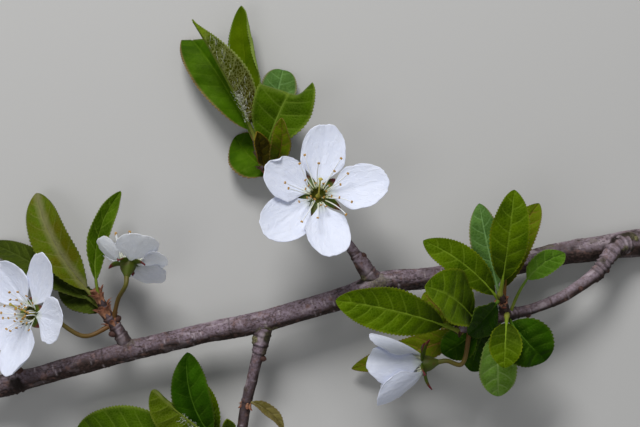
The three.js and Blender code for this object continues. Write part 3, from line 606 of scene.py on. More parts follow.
def add_ball(shape, middle, axes, rows, columns, seed, look=0):
    """An egg with uneven sides, whose three half axes are the rows of axes."""
    polar = even(rows, POLE, np.pi - POLE)
    angle = full_turn(columns)
    ball = spread(np.sin(polar) * np.cos(angle), np.sin(polar) * np.sin(angle), np.cos(polar))
    ball = ball * (1 + EGG_BUMPS * noise(ball + seed * 7.3, 0.6, seed))[..., None]
    inside_out = [group[:, ::-1] for group in tube_faces(rows, columns)]
    shape.add(middle + ball @ np.array(axes), inside_out, look)


# Materials


def linear(colour):
    share = np.array(colour, float) / 255
    low = share / 12.92
    high = ((share + 0.055) / 1.055) ** 2.4
    return (*(float(v) for v in np.where(share <= 0.04045, low, high)), 1.0)


class Look:
    """A material, with a short call for each kind of node that it needs. A value is a number, an output
    or the name of a field of the mesh."""

    def __init__(self, name, **settings):
        self.material = bpy.data.materials.new(name)
        self.material.use_nodes = True
        self.tree = self.material.node_tree
        self.shader = self.tree.nodes["Principled BSDF"]
        for socket, value in settings.items():
            self.shader.inputs[socket.replace("_", " ")].default_value = value
        self.place = self.tree.nodes.new("ShaderNodeTexCoord").outputs["Object"]
        self.colour = None

    def node(self, kind, result, inputs, **settings):
        """A node of that kind. inputs are sockets by name or number, each with its value."""
        made = self.tree.nodes.new("ShaderNode" + kind)
        for setting, value in settings.items():
            setattr(made, setting, value)
        for socket, value in inputs.items():
            if isinstance(value, str):
                value = self.node("Attribute", "Fac", {}, attribute_name=value)
            if isinstance(value, bpy.types.NodeSocket):
                self.tree.links.new(value, made.inputs[socket])
            else:
                made.inputs[socket].default_value = value
        return made.outputs[result]

    def noise(self, size, detail, roughness=0.55):
        """Noise with features about as wide as size, in millimetres."""
        inputs = {"Vector": self.place, "Scale": 1 / (size * MM), "Detail": detail, "Roughness": roughness}
        return self.node("TexNoise", "Fac", inputs)

    def ramp(self, value, low, high, first=0.0, last=1.0):
        inputs = {"Value": value, "From Min": low, "From Max": high, "To Min": first, "To Max": last}
        return self.node("MapRange", "Result", inputs)

    def maths(self, operation, a, b):
        return self.node("Math", "Value", {0: a, 1: b}, operation=operation)

    def mix(self, share, a, b):
        """The colour from a to b by share. Colours are tuples from 0 to 255, or outputs."""
        a, b = (linear(c) if isinstance(c, tuple) else c for c in (a, b))
        return self.node("Mix", 2, {0: share, 6: a, 7: b}, data_type="RGBA")

    def paint(self, share, colour):
        """Covers the material's colour by share with another."""
        self.colour = self.mix(share, self.colour, colour)

    def bump(self, height, depth, under=None):
        """Relief that rises by depth millimetres where height goes from 0 to 1."""
        inputs = {"Height": height, "Distance": depth * MM}
        if under is not None:
            inputs["Normal"] = under
        return self.node("Bump", "Normal", inputs)

    def wear(self, size, detail, depth, under=None, **outputs):
        """Gives the shader the colour and a fine grain, and returns the material."""
        grain = self.bump(self.noise(size, detail), depth, under)
        for socket, output in {"Base Color": self.colour, "Normal": grain, **outputs}.items():
            self.tree.links.new(output, self.shader.inputs[socket])
        return self.material


def bark_look():
    look = Look("bark", Specular_IOR_Level=0.3)
    broad = look.ramp(look.noise(4.0, 3), 0.35, 0.65)
    fine = look.noise(0.55, 5, roughness=0.65)
    # Partly the bark's own colours and partly painted light and shade: the grey film is painted lighter
    # where lit, and the bare bark on the lower side is painted darker where shaded.
    film = look.mix(broad, (116, 101, 110), (140, 124, 136))
    look.colour = look.mix(broad, (26, 16, 11), (44, 29, 23))
    look.paint("film", film)
    look.paint(look.ramp(fine, 0.36, 0.58, 0.85, 0), (74, 56, 52))
    look.paint(look.ramp(look.noise(1.6, 4), 0.56, 0.70, 0, 0.6), (124, 92, 82))
    # Dark cracks, ring grooves and knobs; at the forks this is painted shade in the crevices.
    look.paint("dark", (30, 20, 16))
    look.paint("pale", (186, 172, 178))
    speckle = look.ramp(look.noise(0.3, 4), 0.40, 0.60)
    look.paint("crust", look.mix(speckle, (62, 62, 38), (134, 130, 88)))
    return look.wear(0.18, 3, 0.03, look.bump(fine, 0.08), Roughness=look.ramp(fine, 0.3, 0.7, 0.9, 0.62))


def cut_wood_look():
    look = Look("cut_wood", Roughness=0.75, Specular_IOR_Level=0.25)
    wobble = look.ramp(look.noise(1.2, 3), 0, 1, -0.5, 0.5)
    wave = look.maths("ADD", look.maths("MULTIPLY", "out", YEARS), wobble)
    rings = look.ramp(look.maths("SINE", look.maths("MULTIPLY", wave, 2 * math.pi), 0.0), -1, 1)
    look.colour = look.mix(rings, (214, 186, 140), (184, 146, 98))
    look.colour = look.mix(look.ramp("out", 0.09, 0.13), (120, 84, 50), look.colour)
    look.paint(look.ramp("out", 0.83, 0.86), (116, 140, 62))
    look.paint(look.ramp("out", 0.9, 0.93), (74, 50, 38))
    look.paint(look.ramp(look.noise(0.25, 4), 0.45, 0.8, 0, 0.35), (150, 110, 70))
    return look.wear(0.25, 4, 0.05)


def scale_look(name, root, tip):
    """Dry bud scales, from the colour at their root to the one at their tip."""
    look = Look(name, Roughness=0.6, Specular_IOR_Level=0.35)
    look.colour = look.mix("out", root, tip)
    look.paint(look.ramp(look.noise(0.5, 3), 0.45, 0.7, 0, 0.6), (58, 34, 24))
    return look.wear(0.2, 3, 0.03)


def leaf_skin(tint, under):
    """One side of a leaf. The veins, the margin and how shaded it is are fields of the mesh."""
    upper, patches, veins, lower, margin = LEAF_LOOKS[tint]
    name = f"{tint}_lower" if under else f"{tint}_upper"
    look = Look(name, Specular_IOR_Level=0.12 if under else 0.2, Specular_Tint=(0.55, 0.75, 0.1, 1.0))
    base = lower if under else upper
    dark = tuple(0.6 * a + 0.4 * b for a, b in zip(lower, patches)) if under else patches
    look.colour = look.mix(look.ramp(look.noise(5.0, 3), 0.35, 0.65), base, dark)
    flat = look.node("CombineXYZ", "Vector", {"X": "across", "Y": "along"})
    cells = {"Vector": flat, "Scale": NET_SCALE, "Randomness": 0.9}
    edges = look.node("TexVoronoi", "Distance", cells, feature="DISTANCE_TO_EDGE")
    if tint == "woolly":
        look.paint(look.ramp("along", 5.0, 18.0, 0.8, 0.0), (54, 42, 2))
    strength, network = VEINS.get(tint, (0.62, 0.5 if under else 0.25))
    lines = look.ramp(edges, 0.0, 0.14 if tint == "woolly" else 0.09, 1, 0)
    look.paint(look.maths("MULTIPLY", lines, network), veins)
    look.paint(look.maths("MULTIPLY", "vein", strength), veins)
    if tint == "woolly":
        look.paint(look.ramp("along", 18.0, 21.0), (112, 134, 30))
    # Painted shade: bright and flushed leaves darken towards their stalks, where the crowded leaves shade
    # each other.
    if tint in ("bright", "flushed"):
        look.paint(look.ramp("along", 0.5, 8.5, 0.9, 0.0), (22, 36, 0))
    # Bands along the midrib; the deep leaves' dark band is painted shade.
    if tint in BANDS:
        right, reach, pale = BANDS[tint]
        far = look.maths("ABSOLUTE", look.maths("SUBTRACT", "across", right), 0.0)
        look.paint(look.ramp(far, 0.2 * reach, reach, 0.85, 0.0), pale)
    look.paint("margin", margin)
    look.paint(look.ramp(look.noise(0.3, 2), 0.6, 0.75, 0, 0.25), patches)
    rough = look.ramp(look.noise(1.5, 3), 0.3, 0.7, *((0.62, 0.75) if under else (0.44, 0.58)))
    pillows = look.bump(look.ramp(edges, 0.0, 0.35), 0.02 if tint in ("smooth", "sleek") else 0.05)
    return look.wear(0.12, 2, 0.012, pillows, Roughness=rough)


def rib_look(tint):
    """Leaf stalk and midrib, reddish at the foot on some leaves."""
    veins = (78, 92, 24) if tint == "woolly" else LEAF_LOOKS[tint][2]
    name = f"{tint}_rib"
    look = Look(name, Roughness=0.6, Specular_IOR_Level=0.2, Specular_Tint=(0.6, 0.75, 0.3, 1.0))
    foot = (150, 84, 70) if tint in ("brown", "flushed", "smooth", "olive") else (122, 126, 52)
    look.colour = look.mix("out", foot, veins)
    look.paint(look.ramp(look.noise(0.6, 3), 0.45, 0.7, 0, 0.3), LEAF_LOOKS[tint][1])
    return look.wear(0.15, 2, 0.02)


def petal_look(name, glow, reach):
    """Petal skin. Its glow is the share of light that it lets through, over a reach in millimetres."""
    look = Look(
        name, Roughness=0.55, Specular_IOR_Level=0.3, Sheen_Weight=0.15, Sheen_Roughness=0.5,
        Subsurface_Weight=glow, Subsurface_Radius=(0.9, 0.93, 1.0), Subsurface_Scale=reach * MM,
    )
    look.colour = look.mix(look.ramp("out", 0.0, 0.22), (212, 220, 196), (228, 233, 251))
    look.paint(look.ramp(look.noise(3.0, 2), 0.4, 0.7, 0, 0.35), (216, 222, 245))
    fan = look.node("CombineXYZ", "Vector", {"X": "fan", "Y": look.maths("MULTIPLY", "out", 0.9)})
    lines = look.node("TexNoise", "Fac", {"Vector": fan, "Scale": 6.0, "Detail": 2.0, "Distortion": 0.25})
    look.paint(look.ramp(lines, 0.45, 0.52, 0.10, 0.0), (196, 204, 226))
    return look.wear(0.12, 2, 0.01, look.bump(look.ramp(lines, 0.5, 0.56), 0.035))


def green_look(name, foot, tip, spots, turn=(0.0, 1.0)):
    """Smooth green skin with reddish parts: stalks, cups and sepals. Its colour turns from the foot's to
    the tip's over that stretch."""
    look = Look(name, Roughness=0.5, Specular_IOR_Level=0.3)
    look.colour = look.mix(look.ramp("out", *turn), foot, tip)
    look.paint(look.ramp(look.noise(1.0, 3), 0.48, 0.7, 0, 0.55), spots)
    return look.wear(0.2, 3, 0.025)


def plain_look(name, colour, spots, size, **settings):
    look = Look(name, **settings)
    look.colour = look.mix(look.ramp(look.noise(size, 3), 0.4, 0.65), colour, spots)
    return look.wear(size / 2, 2, 0.02)


# Limbs


def near(path, point):
    """The number of the path's point that lies nearest to a point."""
    return int(np.argmin(np.linalg.norm(path[:, :3] - np.array(point), axis=1)))


def aside(toward, ahead, share=1.0):
    """A direction with that share of what it has along ahead taken out."""
    toward = np.array(toward, float)
    return unit(toward - ahead * (toward @ ahead) * share)


def bark_limb(name, look, random):
    """A limb with its bark's relief: broad lumps, cracks, knobs, rings and pale breathing pores."""
    path, ahead, side, over = limb_line(name)
    centre, radius = path[:, :3], path[:, 3:]
    columns = round(2 * math.pi * radius.max() / LIMB_COLUMN / 2) * 2
    angle = full_turn(columns)
    outward = around(side[:, None], over[:, None], angle)
    run = even(len(path), 0, len(path) - 1) * LIMB_STEP
    flat = spread(radius * np.cos(angle), radius * np.sin(angle), run)
    x = centre[:, :1]
    age = 1.0 if name == "main_branch" else YOUNG_BARK
    relief = BARK_LUMPS * layered(flat * [1, 1, 0.45], 2.2, 2, 11)
    plates = layered(flat * [1, 1, 0.55], 0.9, 3, 23)
    cracks = smoothstep(0.16, 0.02, np.abs(plates))
    relief = relief + age * (BARK_PLATES * plates - BARK_CRACKS * cracks)
    relief = relief + BARK_GRAIN * layered(flat, 0.35, 2, 31)
    dark = 0.75 * age * cracks * smoothstep(-0.2, 0.5, noise(flat, 2.6, 41) + 0.3)
    sunny = outward @ SUNNY_SIDE + 0.35 * layered(flat * [1, 1, 0.4], 1.8, 2, 97)
    # Painted shade: the dark lower side reaches higher round towards both ends, and the thin end has less
    # of the pale film, so it is painted darker.
    if name != "right_twig":
        sunny = sunny - (0.34 * smoothstep(0, 50, x) + 0.2 * smoothstep(-25, -50, x))
    film = smoothstep(0.1, 0.8, sunny) * (1 - 0.3 * smoothstep(-15, -55, x))
    pale = 0.4 * smoothstep(0.25, 0.7, layered(flat * [1, 1, 0.4], 1.3, 3, 53)) * (0.3 + 0.7 * film)
    # Painted light: towards the right end the sunny side is painted paler still.
    pale = pale + 0.16 * smoothstep(35, 55, x) * film
    crust = np.zeros_like(relief)
    for point, toward, along, across, height, dark_share, crust_share in KNOBS.get(name, ()):
        at = near(path, point)
        turn = np.arccos(np.clip(outward @ aside(toward, ahead[at]), -1, 1)) * radius
        far = ((run - run[at]) / along) ** 2 + (turn / across) ** 2
        hump = np.exp(-2.2 * far * (1 + 0.35 * noise(flat, 0.9, 61 + at)))
        relief = relief + height * hump * (1 + 0.35 * layered(flat, 0.6, 2, 67))
        # A knob's darkness at a fork is painted shade in the crevice there.
        dark = np.maximum(dark, dark_share * smoothstep(0.25, 0.8, hump + 0.25 * noise(flat, 0.7, 71)))
        lumps = smoothstep(0.3, 0.6, hump + 0.4 * noise(flat, 0.5, 73))
        crust = np.maximum(crust, crust_share * lumps)
    for point, height in RINGS[name]:
        at = near(path, point)
        far = run - run[at] + 0.16 * noise(flat * [1, 1, 0], 1.2, 79 + at)
        groove = bell(far - GROOVE_PLACE, GROOVE_WIDTH)
        relief = relief + height * (bell(far, RING_WIDTH) - 0.4 * groove)
        dark = np.maximum(dark, 0.7 * groove)
    for _ in range(round(run[-1, 0] * radius.mean() * PORES)):
        at = random.integers(4, len(path) - 4)
        facing = random.uniform(0, 2 * np.pi)
        turn = np.abs((angle - facing + np.pi) % (2 * np.pi) - np.pi) * radius[at]
        wide = random.uniform(0.3, 0.75)
        pore = bell(run - run[at], PORE_LENGTH) * np.exp(-((turn / wide) ** 4))
        relief = relief + PORE_HEIGHT * pore
        pale = np.maximum(pale, random.uniform(0.25, 0.7) * pore)
    pale = pale * (1 - dark) * (1 - crust)
    relief = relief + 0.08 * crust * (0.5 + 0.5 * noise(flat, 0.3, 83))
    # A limb that grows from another starts inside it, wider at its foot, and a young end is round.
    if name != "main_branch":
        end = np.clip((run[-1] - run) / (0.9 * radius[-1]), 0, 1)
        rounding = np.sqrt(1 - (1 - end) ** 2) * 0.98 + 0.02 - 1
        relief = relief + 0.35 * np.exp(-run / 1.1) + radius * rounding
    reach = np.maximum(radius + relief, 0.03)
    shape = Shape()
    shape.tube(centre[:, None] + outward * reach[..., None], dark=dark, pale=pale, crust=crust, film=film)
    shape.piece(name + "_bark", [look], "bark", [name])


def cut_faces(look):
    """The flat cuts at the main branch's two ends, with their rings, a little inside the bark."""
    shape = Shape()
    path, ahead, side, over = limb_line("main_branch")
    rows, columns = CUT_GRID
    out = even(rows, 0.02, 1)
    for end, sign in ((0, -1), (-1, 1)):
        flat = around(side[end], over[end], full_turn(columns)[None])
        spots = flat * (out * path[end, 3] * 0.97)[..., None]
        rough = 0.03 * layered(spots, 0.4, 2, 89)
        lift = 0.02 - 0.10 * smoothstep(0.93, 1.0, out) + rough * (out < 0.99)
        points = path[end, :3] + spots + sign * ahead[end] * lift[..., None]
        faces = tube_faces(rows, columns)[:2]
        shape.add(points, faces if sign < 0 else [group[:, ::-1] for group in faces], out=out)
    shape.piece("cut_faces", [look], "cut_wood")


def add_scale(shape, root, out, ahead, length, curl, look):
    """One thin, hollowed bud scale that starts at root and bends out of the way of ahead."""
    rows, columns = SCALE_GRID
    s, a = even(rows), even(columns, -1, 1).T
    width = SCALE_WIDTH * length
    side = unit(np.cross(ahead, out))
    half = width / 2 * (0.55 + 0.9 * s) * np.sqrt(np.clip(1.02 - s**2.2, 0.02, 1))
    bend = curl * s**2
    sheet = (
        root
        + ahead * (length * s * np.cos(0.6 * bend))[..., None]
        + out * (length * s * np.sin(bend) * 0.6 - 0.35 * width * a**2 * (1 - 0.5 * s))[..., None]
        + side * (half * a)[..., None]
    )
    shape.blade(sheet, sheet - out * 0.07, looks=look, out=s)


def bud_scales(looks, random):
    """Crowns of scales round the twigs, where this spring's buds opened, joined into one piece."""
    shape = Shape()
    for limb, crowns in SCALES.items():
        path, ahead, side, over = limb_line(limb)
        for point, count, length, kind in crowns:
            at = near(path, point)
            for i in range(count):
                angle = 2 * np.pi * (i / count + random.uniform(-0.04, 0.04)) * 2.6
                k = min(len(path) - 1, max(0, at + random.integers(-3, 3)))
                out = around(side[k], over[k], angle)
                root = path[k, :3] + out * (path[k, 3] + 0.05)
                size = length * random.uniform(0.7, 1.1)
                curl = random.uniform(0.3, 1.2)
                add_scale(shape, root, out, ahead[k], size, curl, ("brown", "pink").index(kind))
    shape.piece("bud_scales", looks, "bud_scale")


def side_buds(look):
    """Small pointed side buds, each with overlapping scales, joined into one piece."""
    shape = Shape()
    for i, (limb, point, toward, length, radius) in enumerate(BUDS):
        path, ahead, _, _ = limb_line(limb)
        at = near(path, point)
        out = aside(toward, ahead[at], 0.6)
        side = unit(np.cross(out, ahead[at]))
        rows, columns = BUD_GRID
        s, angle = even(rows), full_turn(columns)[None]
        profile = np.sqrt(np.clip(1 - s**2.2, 0.0008, 1)) * (0.95 + 0.2 * s * (1 - s) * 4)
        turns = 5 * s + angle / np.pi * 0.5 + i * 0.37
        overlap = 0.10 * (1 - turns % 1)
        reach = radius * profile * (1 + overlap * (s < 0.97))
        foot = path[at, :3] + out * (path[at, 3] * 0.55)
        ring = around(side, np.cross(out, side), angle)
        axis = out * (s * (length + 0.45 * path[at, 3]))[..., None]
        shape.tube(foot + axis + ring * reach[..., None], out=turns % 1)
    shape.piece("side_buds", [look], "bud_scale")


# Leaves


class Fold(NamedTuple):
    """Where a blade is rolled over beyond a line across it. Its lengths are across the blade and along it
    from its root."""

    at: tuple  # a point on the line
    heading: float  # the way out across the line, in degrees from the way to the blade's right
    radius: float  # of the roll
    turn: float  # how far it is rolled up, or down below 0, in radians
    start: float = 0.0  # how far along the blade the roll begins
    bow: float = 0.0  # how far the line has bent outwards 1 mm to the right of the point


# Leaves whose margin or point is rolled over, and petals, by their bloom and number.
FOLDS = {
    "upper_leaf_top": Fold((2.35, 18.9), 9, 0.3, 2.8, start=3.0),
    "upper_leaf_outer": Fold((-1.4, 28.5), 52, 0.6, -2.4),
    "upper_leaf_broad": Fold((1.5, 14.1), 96, 1.2, -2.0, bow=0.6),
    ("middle_bloom", 4): Fold((2.5, 9.2), 37, 0.2, 2.9, bow=0.5),
    ("left_bloom", 3): Fold((-3.2, 8.4), 150, 0.5, 1.6),
    ("low_bloom", 1): Fold((3.0, 8.6), 40, 0.5, 1.8),
}


class Blade:
    """The bowed line of a leaf or petal and the directions across it, as the CAD solid has them."""

    def __init__(self, root, tip, face, arch, hook=0.0, bend=0.0):
        self.root = np.array(root, float)
        self.along = np.array(tip, float) - self.root
        self.length = np.linalg.norm(self.along)
        self.ahead = self.along / self.length
        self.right = unit(np.cross(self.along, np.array(face, float)))
        self.up = unit(np.cross(self.right, self.along))
        self.arch, self.hook, self.bend = arch, hook, bend

    def rib(self, s):
        s = np.asarray(s, float)[..., None]
        curl = np.maximum(0, (s - CURL_START) / (1 - CURL_START)) ** 2
        bow = 4 * s * (1 - s)
        return (
            self.root
            + self.along * s
            + self.up * (self.arch * bow - CURL_DOWN * self.hook * curl)
            - self.ahead * (CURL_BACK * self.hook * curl)
            + self.right * (self.bend * bow)
        )

    def over(self, s):
        forward = unit(self.rib(np.asarray(s) + 0.01) - self.rib(np.asarray(s) - 0.01))
        return unit(np.cross(np.broadcast_to(self.right, forward.shape), forward))


def rolled(x, s, blade, fold):
    """Points at x across a blade and share s of the way along it, moved across and along by its roll, how
    far that raises them, and what share of the roll's turn each has made."""
    if fold is None:
        return x, s, 0.0, 0.0
    y = s * blade.length
    heading = math.radians(fold.heading)
    way_x, way_y = math.cos(heading), math.sin(heading)
    off_x, off_y = x - fold.at[0], y - fold.at[1]
    beside = np.maximum(0, off_x * way_y - off_y * way_x)
    past = np.maximum(0, off_x * way_x + off_y * way_y - fold.bow * beside**2)
    past = past * smoothstep(fold.start - 0.4, fold.start + 0.4, y)
    most = abs(fold.turn)
    turned = np.minimum(past / fold.radius, most)
    beyond = np.maximum(0, past - fold.radius * most)
    shift = fold.radius * np.sin(turned) + beyond * np.cos(turned) - past
    rise = math.copysign(1, fold.turn) * (fold.radius * (1 - np.cos(turned)) + beyond * np.sin(turned))
    return x + shift * way_x, s + shift * way_y / blade.length, rise, turned / most


def leaf_half(name, t):
    """Half a leaf's width at share t of its blade."""
    fall = BLUNT.get(name, LEAF_FALL)
    peak = LEAF_RISE / (LEAF_RISE + fall)
    bulge = t**LEAF_RISE * (1 - t) ** fall
    return LEAVES[name][2] / 2 * bulge / (peak**LEAF_RISE * (1 - peak) ** fall)


def leaf(name, skins, random):
    """One leaf: a toothed, veined blade with two sides, and its stalk and midrib as one tube."""
    root, tip, width, face, raised, arch, hook, bend, _ = LEAVES[name]
    blade = Blade(root, tip, face, arch, hook, bend)
    stalk = OTHER_STALKS.get(name, STALK_SHARE)
    length = blade.length * (1 - stalk)
    teeth = max(12, round(length / TOOTH_PITCH))
    rows = 4 * teeth + 1
    t = even(rows)
    # More columns lie near the margin, where the teeth are.
    a = np.sin(even(2 * BLADE_COLUMNS + 1, -1, 1).T * np.pi / 2)
    margin = np.abs(a)
    place = t + VEIN_SWEEP * margin**1.3 * 4 * t * (1 - t)
    tooth = np.append(np.tile(TOOTH, teeth), 0.0)[:, None]
    tooth = tooth * (TOOTH_DEPTH * min(1.0, 0.45 + width / 16) * np.minimum(1, 6 * place * (1 - place)))
    half = np.maximum(0.06, leaf_half(name, place)) + tooth * smoothstep(0.86, 1.0, margin)
    s = stalk + (1 - stalk) * place
    slope = math.radians(raised)
    # The blade's own relief: it rises between its side veins, and its margin waves.
    pairs = max(5, round(length / VEIN_PITCH))
    phase = t * pairs + np.where(a > 0, 0.5, 0.0) + random.uniform(0, 1)
    vein_far = np.abs((phase + 0.5) % 1 - 0.5) * length / pairs
    inside = (1 - a**2) * smoothstep(0.0, 0.12, t) * smoothstep(1.0, 0.85, t)
    relief = VEIN_RELIEF.get(name, 1.0)
    quilt = relief * QUILT * min(1.0, width / 8) * np.cos(2 * np.pi * (phase - 0.5)) * inside * margin**0.5
    wave = np.sin(2 * np.pi * (WAVES * place + random.uniform(0, 1) + 0.4 * (a > 0)))
    wave = WAVE_HEIGHT * width * a**2 * wave
    crumple = CRUMPLE * noise(spread(half * a, place * length, random.uniform(0, 99)), 1.7)
    away = place * (1 - place)
    lift = quilt + wave * np.minimum(1, 5 * away) + crumple * np.minimum(1, 6 * away)
    fold = FOLDS.get(name)
    x, s, rise, turned = rolled(half * a, s, blade, fold)
    over = blade.over(s)
    middle = (
        blade.rib(s)
        + blade.right * (x * math.cos(slope))[..., None]
        + over * (np.abs(x) * math.sin(slope) + rise)[..., None]
    )
    rib_far = margin * half
    tilt = np.sign(a) * np.clip(rib_far / 0.35, 0, 1) * math.sin(slope)
    normal = unit(over * math.cos(slope) - blade.right * tilt[..., None])
    middle = middle + normal * lift[..., None]
    if fold:
        normal = unit(np.cross(np.gradient(middle, axis=1), np.gradient(middle, axis=0)))
    vein = bell(vein_far, VEIN_WIDTH) * smoothstep(1.0, 0.8, margin) * inside**0.3
    rib = bell(rib_far, RIB_WIDTH * (1.15 - place))
    thick = LEAF_SKIN + 0.05 * bell(rib_far, 0.8)
    top = middle + normal * (thick - VEIN_DEPTH * relief * vein - RIB_DEPTH * rib)[..., None]
    bottom = middle - normal * (thick + VEIN_RIDGE * vein)[..., None]
    sides, start, end = tube_faces(rows, 2 * a.size)
    upper = np.tile(np.arange(2 * a.size) < a.size, rows - 1)
    edge = np.maximum(smoothstep(0.90, 1.0, margin) * 0.8, 0.7 * turned)
    shape = Shape()
    faces = [sides[upper], sides[~upper], start, end]
    fields = {"vein": np.maximum(vein, rib), "margin": edge, "across": half * a, "along": place * length}
    shape.blade(top, bottom, faces, [0, 1, 0, 0], **fields)
    # The stalk starts a little inside its twig. The midrib stands out of the leaf's lower side and ends
    # where the blade is rolled over.
    spots = np.concatenate([[-0.9 / blade.length], np.linspace(0, 0.985, 60)])
    if fold:
        spots = spots[rolled(0.0, spots, blade, fold)[3] == 0]
    in_blade = smoothstep(stalk * 0.7, stalk + 0.08, spots)
    drop = (0.08 + 0.06 * in_blade) * in_blade
    thickness = LEAF_STALK - 0.08 * in_blade - 0.24 * np.clip(spots, 0, 1)
    thickness = thickness * min(1.0, 0.5 + width / 14) * (1 + 0.5 * np.exp(-np.maximum(spots, 0) * 60))
    line = blade.rib(spots) - blade.over(spots) * drop[:, None]
    add_tube(shape, line, thickness, 10, 2, out=np.clip(spots / stalk, 0, 1)[:, None])
    shape.piece(name + "_blade", skins, "leaf", [] if name in NO_SOLID else [name])


def hairs(name, look, random):
    """The pale wool on a young leaf's lower side, thickest along its midrib."""
    on_midrib, stretch, elsewhere = WOOL[name]
    count = on_midrib + elsewhere
    root, tip, _, face, raised, arch, hook, bend, _ = LEAVES[name]
    blade = Blade(root, tip, face, arch, hook, bend)
    slope = math.radians(raised)
    spread_out = np.arange(count) >= on_midrib
    s = np.where(spread_out, random.uniform(0.2, 0.84, count), random.uniform(*stretch, count))
    a = np.where(spread_out, random.uniform(-0.95, 0.95, count), random.normal(0, 0.16, count))
    half = leaf_half(name, np.clip((s - STALK_SHARE) / (1 - STALK_SHARE), 0.01, 0.99))
    over = blade.over(s)
    sign = np.sign(a)[:, None]
    side_way = sign * blade.right * math.cos(slope) + over * math.sin(slope)
    normal = unit(over * math.cos(slope) - blade.right * sign * math.sin(slope))
    starts = blade.rib(s) + side_way * (half * np.abs(a))[:, None] - normal * 0.12
    flat = unit(blade.ahead + 0.45 * side_way + 0.25 * random.normal(0, 1, (count, 3)) - 0.35 * normal)
    tufted = unit(-normal + 0.6 * random.normal(0, 1, (count, 3)) + 0.3 * blade.ahead)
    lean = np.where(spread_out[:, None], flat, tufted)
    size = random.uniform(0.4, 1.0, count) * np.where(spread_out, 1.3, 0.75)
    thick = np.where(spread_out, 1.4, 1.5)
    shape = Shape()
    for start, way, long, wide in zip(starts, lean, size, thick):
        side = unit(np.cross(way, blade.ahead + 0.1))
        other = np.cross(way, side)
        bent = start + way * long * 0.6 + blade.ahead * 0.05
        end = start + way * long + blade.ahead * 0.22 * long
        square = np.array([side, other, -side, -other]) * wide
        shape.tube(np.array([at + radius * square for at, radius in zip((start, bent, end), HAIR_RADII)]))
    shape.piece(name + "_hairs", [look], "leaf")


# Blooms


def bloom_frame(name):
    """A bloom's row, its middle, the way it faces and two directions across it."""
    bloom = BLOOMS[name]
    facing = unit(np.array(bloom["axis"], float))
    right = unit(np.array([1.0, 0.0, 0.0]) - facing * facing[0])
    return bloom, np.array(bloom["middle"], float), facing, right, np.cross(facing, right)


def add_petal(shape, name, number, random):
    """One petal: its rows are arcs and its columns fan out from the claw, as its veins do."""
    bloom, centre, facing, right, turn = bloom_frame(name)
    angle, length, width, rise = bloom["petals"][number]
    rise = math.radians(rise)
    out = around(right, turn, math.radians(angle))
    root = centre + out * PETAL_ROOT_RADIUS
    tip = root + out * length * math.cos(rise) + facing * length * math.sin(rise)
    blade = Blade(root, tip, facing, -PETAL_BOW * length)
    rows, columns = PETAL_GRID
    v = even(rows) ** 0.9
    fan = even(columns, -1, 1).T
    swing = fan * np.pi / 2
    seed = random.integers(0, 999)
    uneven = 0
    for depth, size, layer in ((0.022, 0.6, 3), (0.02, 0.2, 13), (0.013, 0.07, 17)):
        uneven = uneven + depth * noise(spread(fan, 0, seed), size, layer)
    notch = 0.012 * bell(fan, 0.12) * random.uniform(0, 1)
    arc = 0.58 + 0.42 * np.cos(swing) ** random.uniform(0.85, 1.2)
    reach = arc * (1 + uneven * np.cos(swing) ** 0.3 - notch)
    opening = CLAW + (1 - CLAW) * np.sin(np.pi / 2 * np.minimum(1, v / 0.68)) ** 2.1
    lopsided = 1 + 0.06 * random.uniform(-1, 1) * fan
    x = width / 2 * np.sin(swing) * opening * lopsided
    x = x * (1 + 0.03 * np.abs(fan) ** 4 * layered(spread(v, np.sign(fan), seed), 0.14, 2, 5))
    s = v * reach
    edge = np.maximum(np.abs(fan) ** 6, v**8)
    ruffle = RUFFLE * v * edge * layered(spread(fan * 3, v * 2, seed), 0.8, 2, 7)
    dish = DISH * noise(spread(fan * 1.2, v * 1.5, seed), 0.7, 9) * v
    furrow = FURROW * bell(x, 0.5) * (1 - v) ** 0.5
    z = bloom["cup"] * x**2 / (width / 2) + ruffle + dish - furrow
    x, s, raised, _ = rolled(x, s, blade, FOLDS.get((name, number)))
    z = z + raised
    middle = blade.rib(s) + blade.right * x[..., None] + blade.over(s) * z[..., None]
    normal = unit(np.cross(unit(np.gradient(middle, axis=1)), unit(np.gradient(middle, axis=0))))
    skin = normal * (PETAL_SKIN - 0.05 * edge)[..., None]
    # The end and the foot are strips of faces between the petal's two sides.
    k = np.arange(columns - 1)
    foot = np.stack([k + 1, k, 2 * columns - 1 - k, 2 * columns - 2 - k], axis=-1)
    strip = (rows - 1) * 2 * columns + foot[:, [1, 0, 3, 2]]
    faces = [tube_faces(rows, 2 * columns)[0], strip, foot]
    shape.blade(middle + skin, middle - skin, faces, out=v, fan=fan + number * 3.7 + seed)


def petals(name, look, random):
    shape = Shape()
    for number in range(len(BLOOMS[name]["petals"])):
        add_petal(shape, name, number, random)
    shape.piece(name + "_petals", [look], "petal", [name])


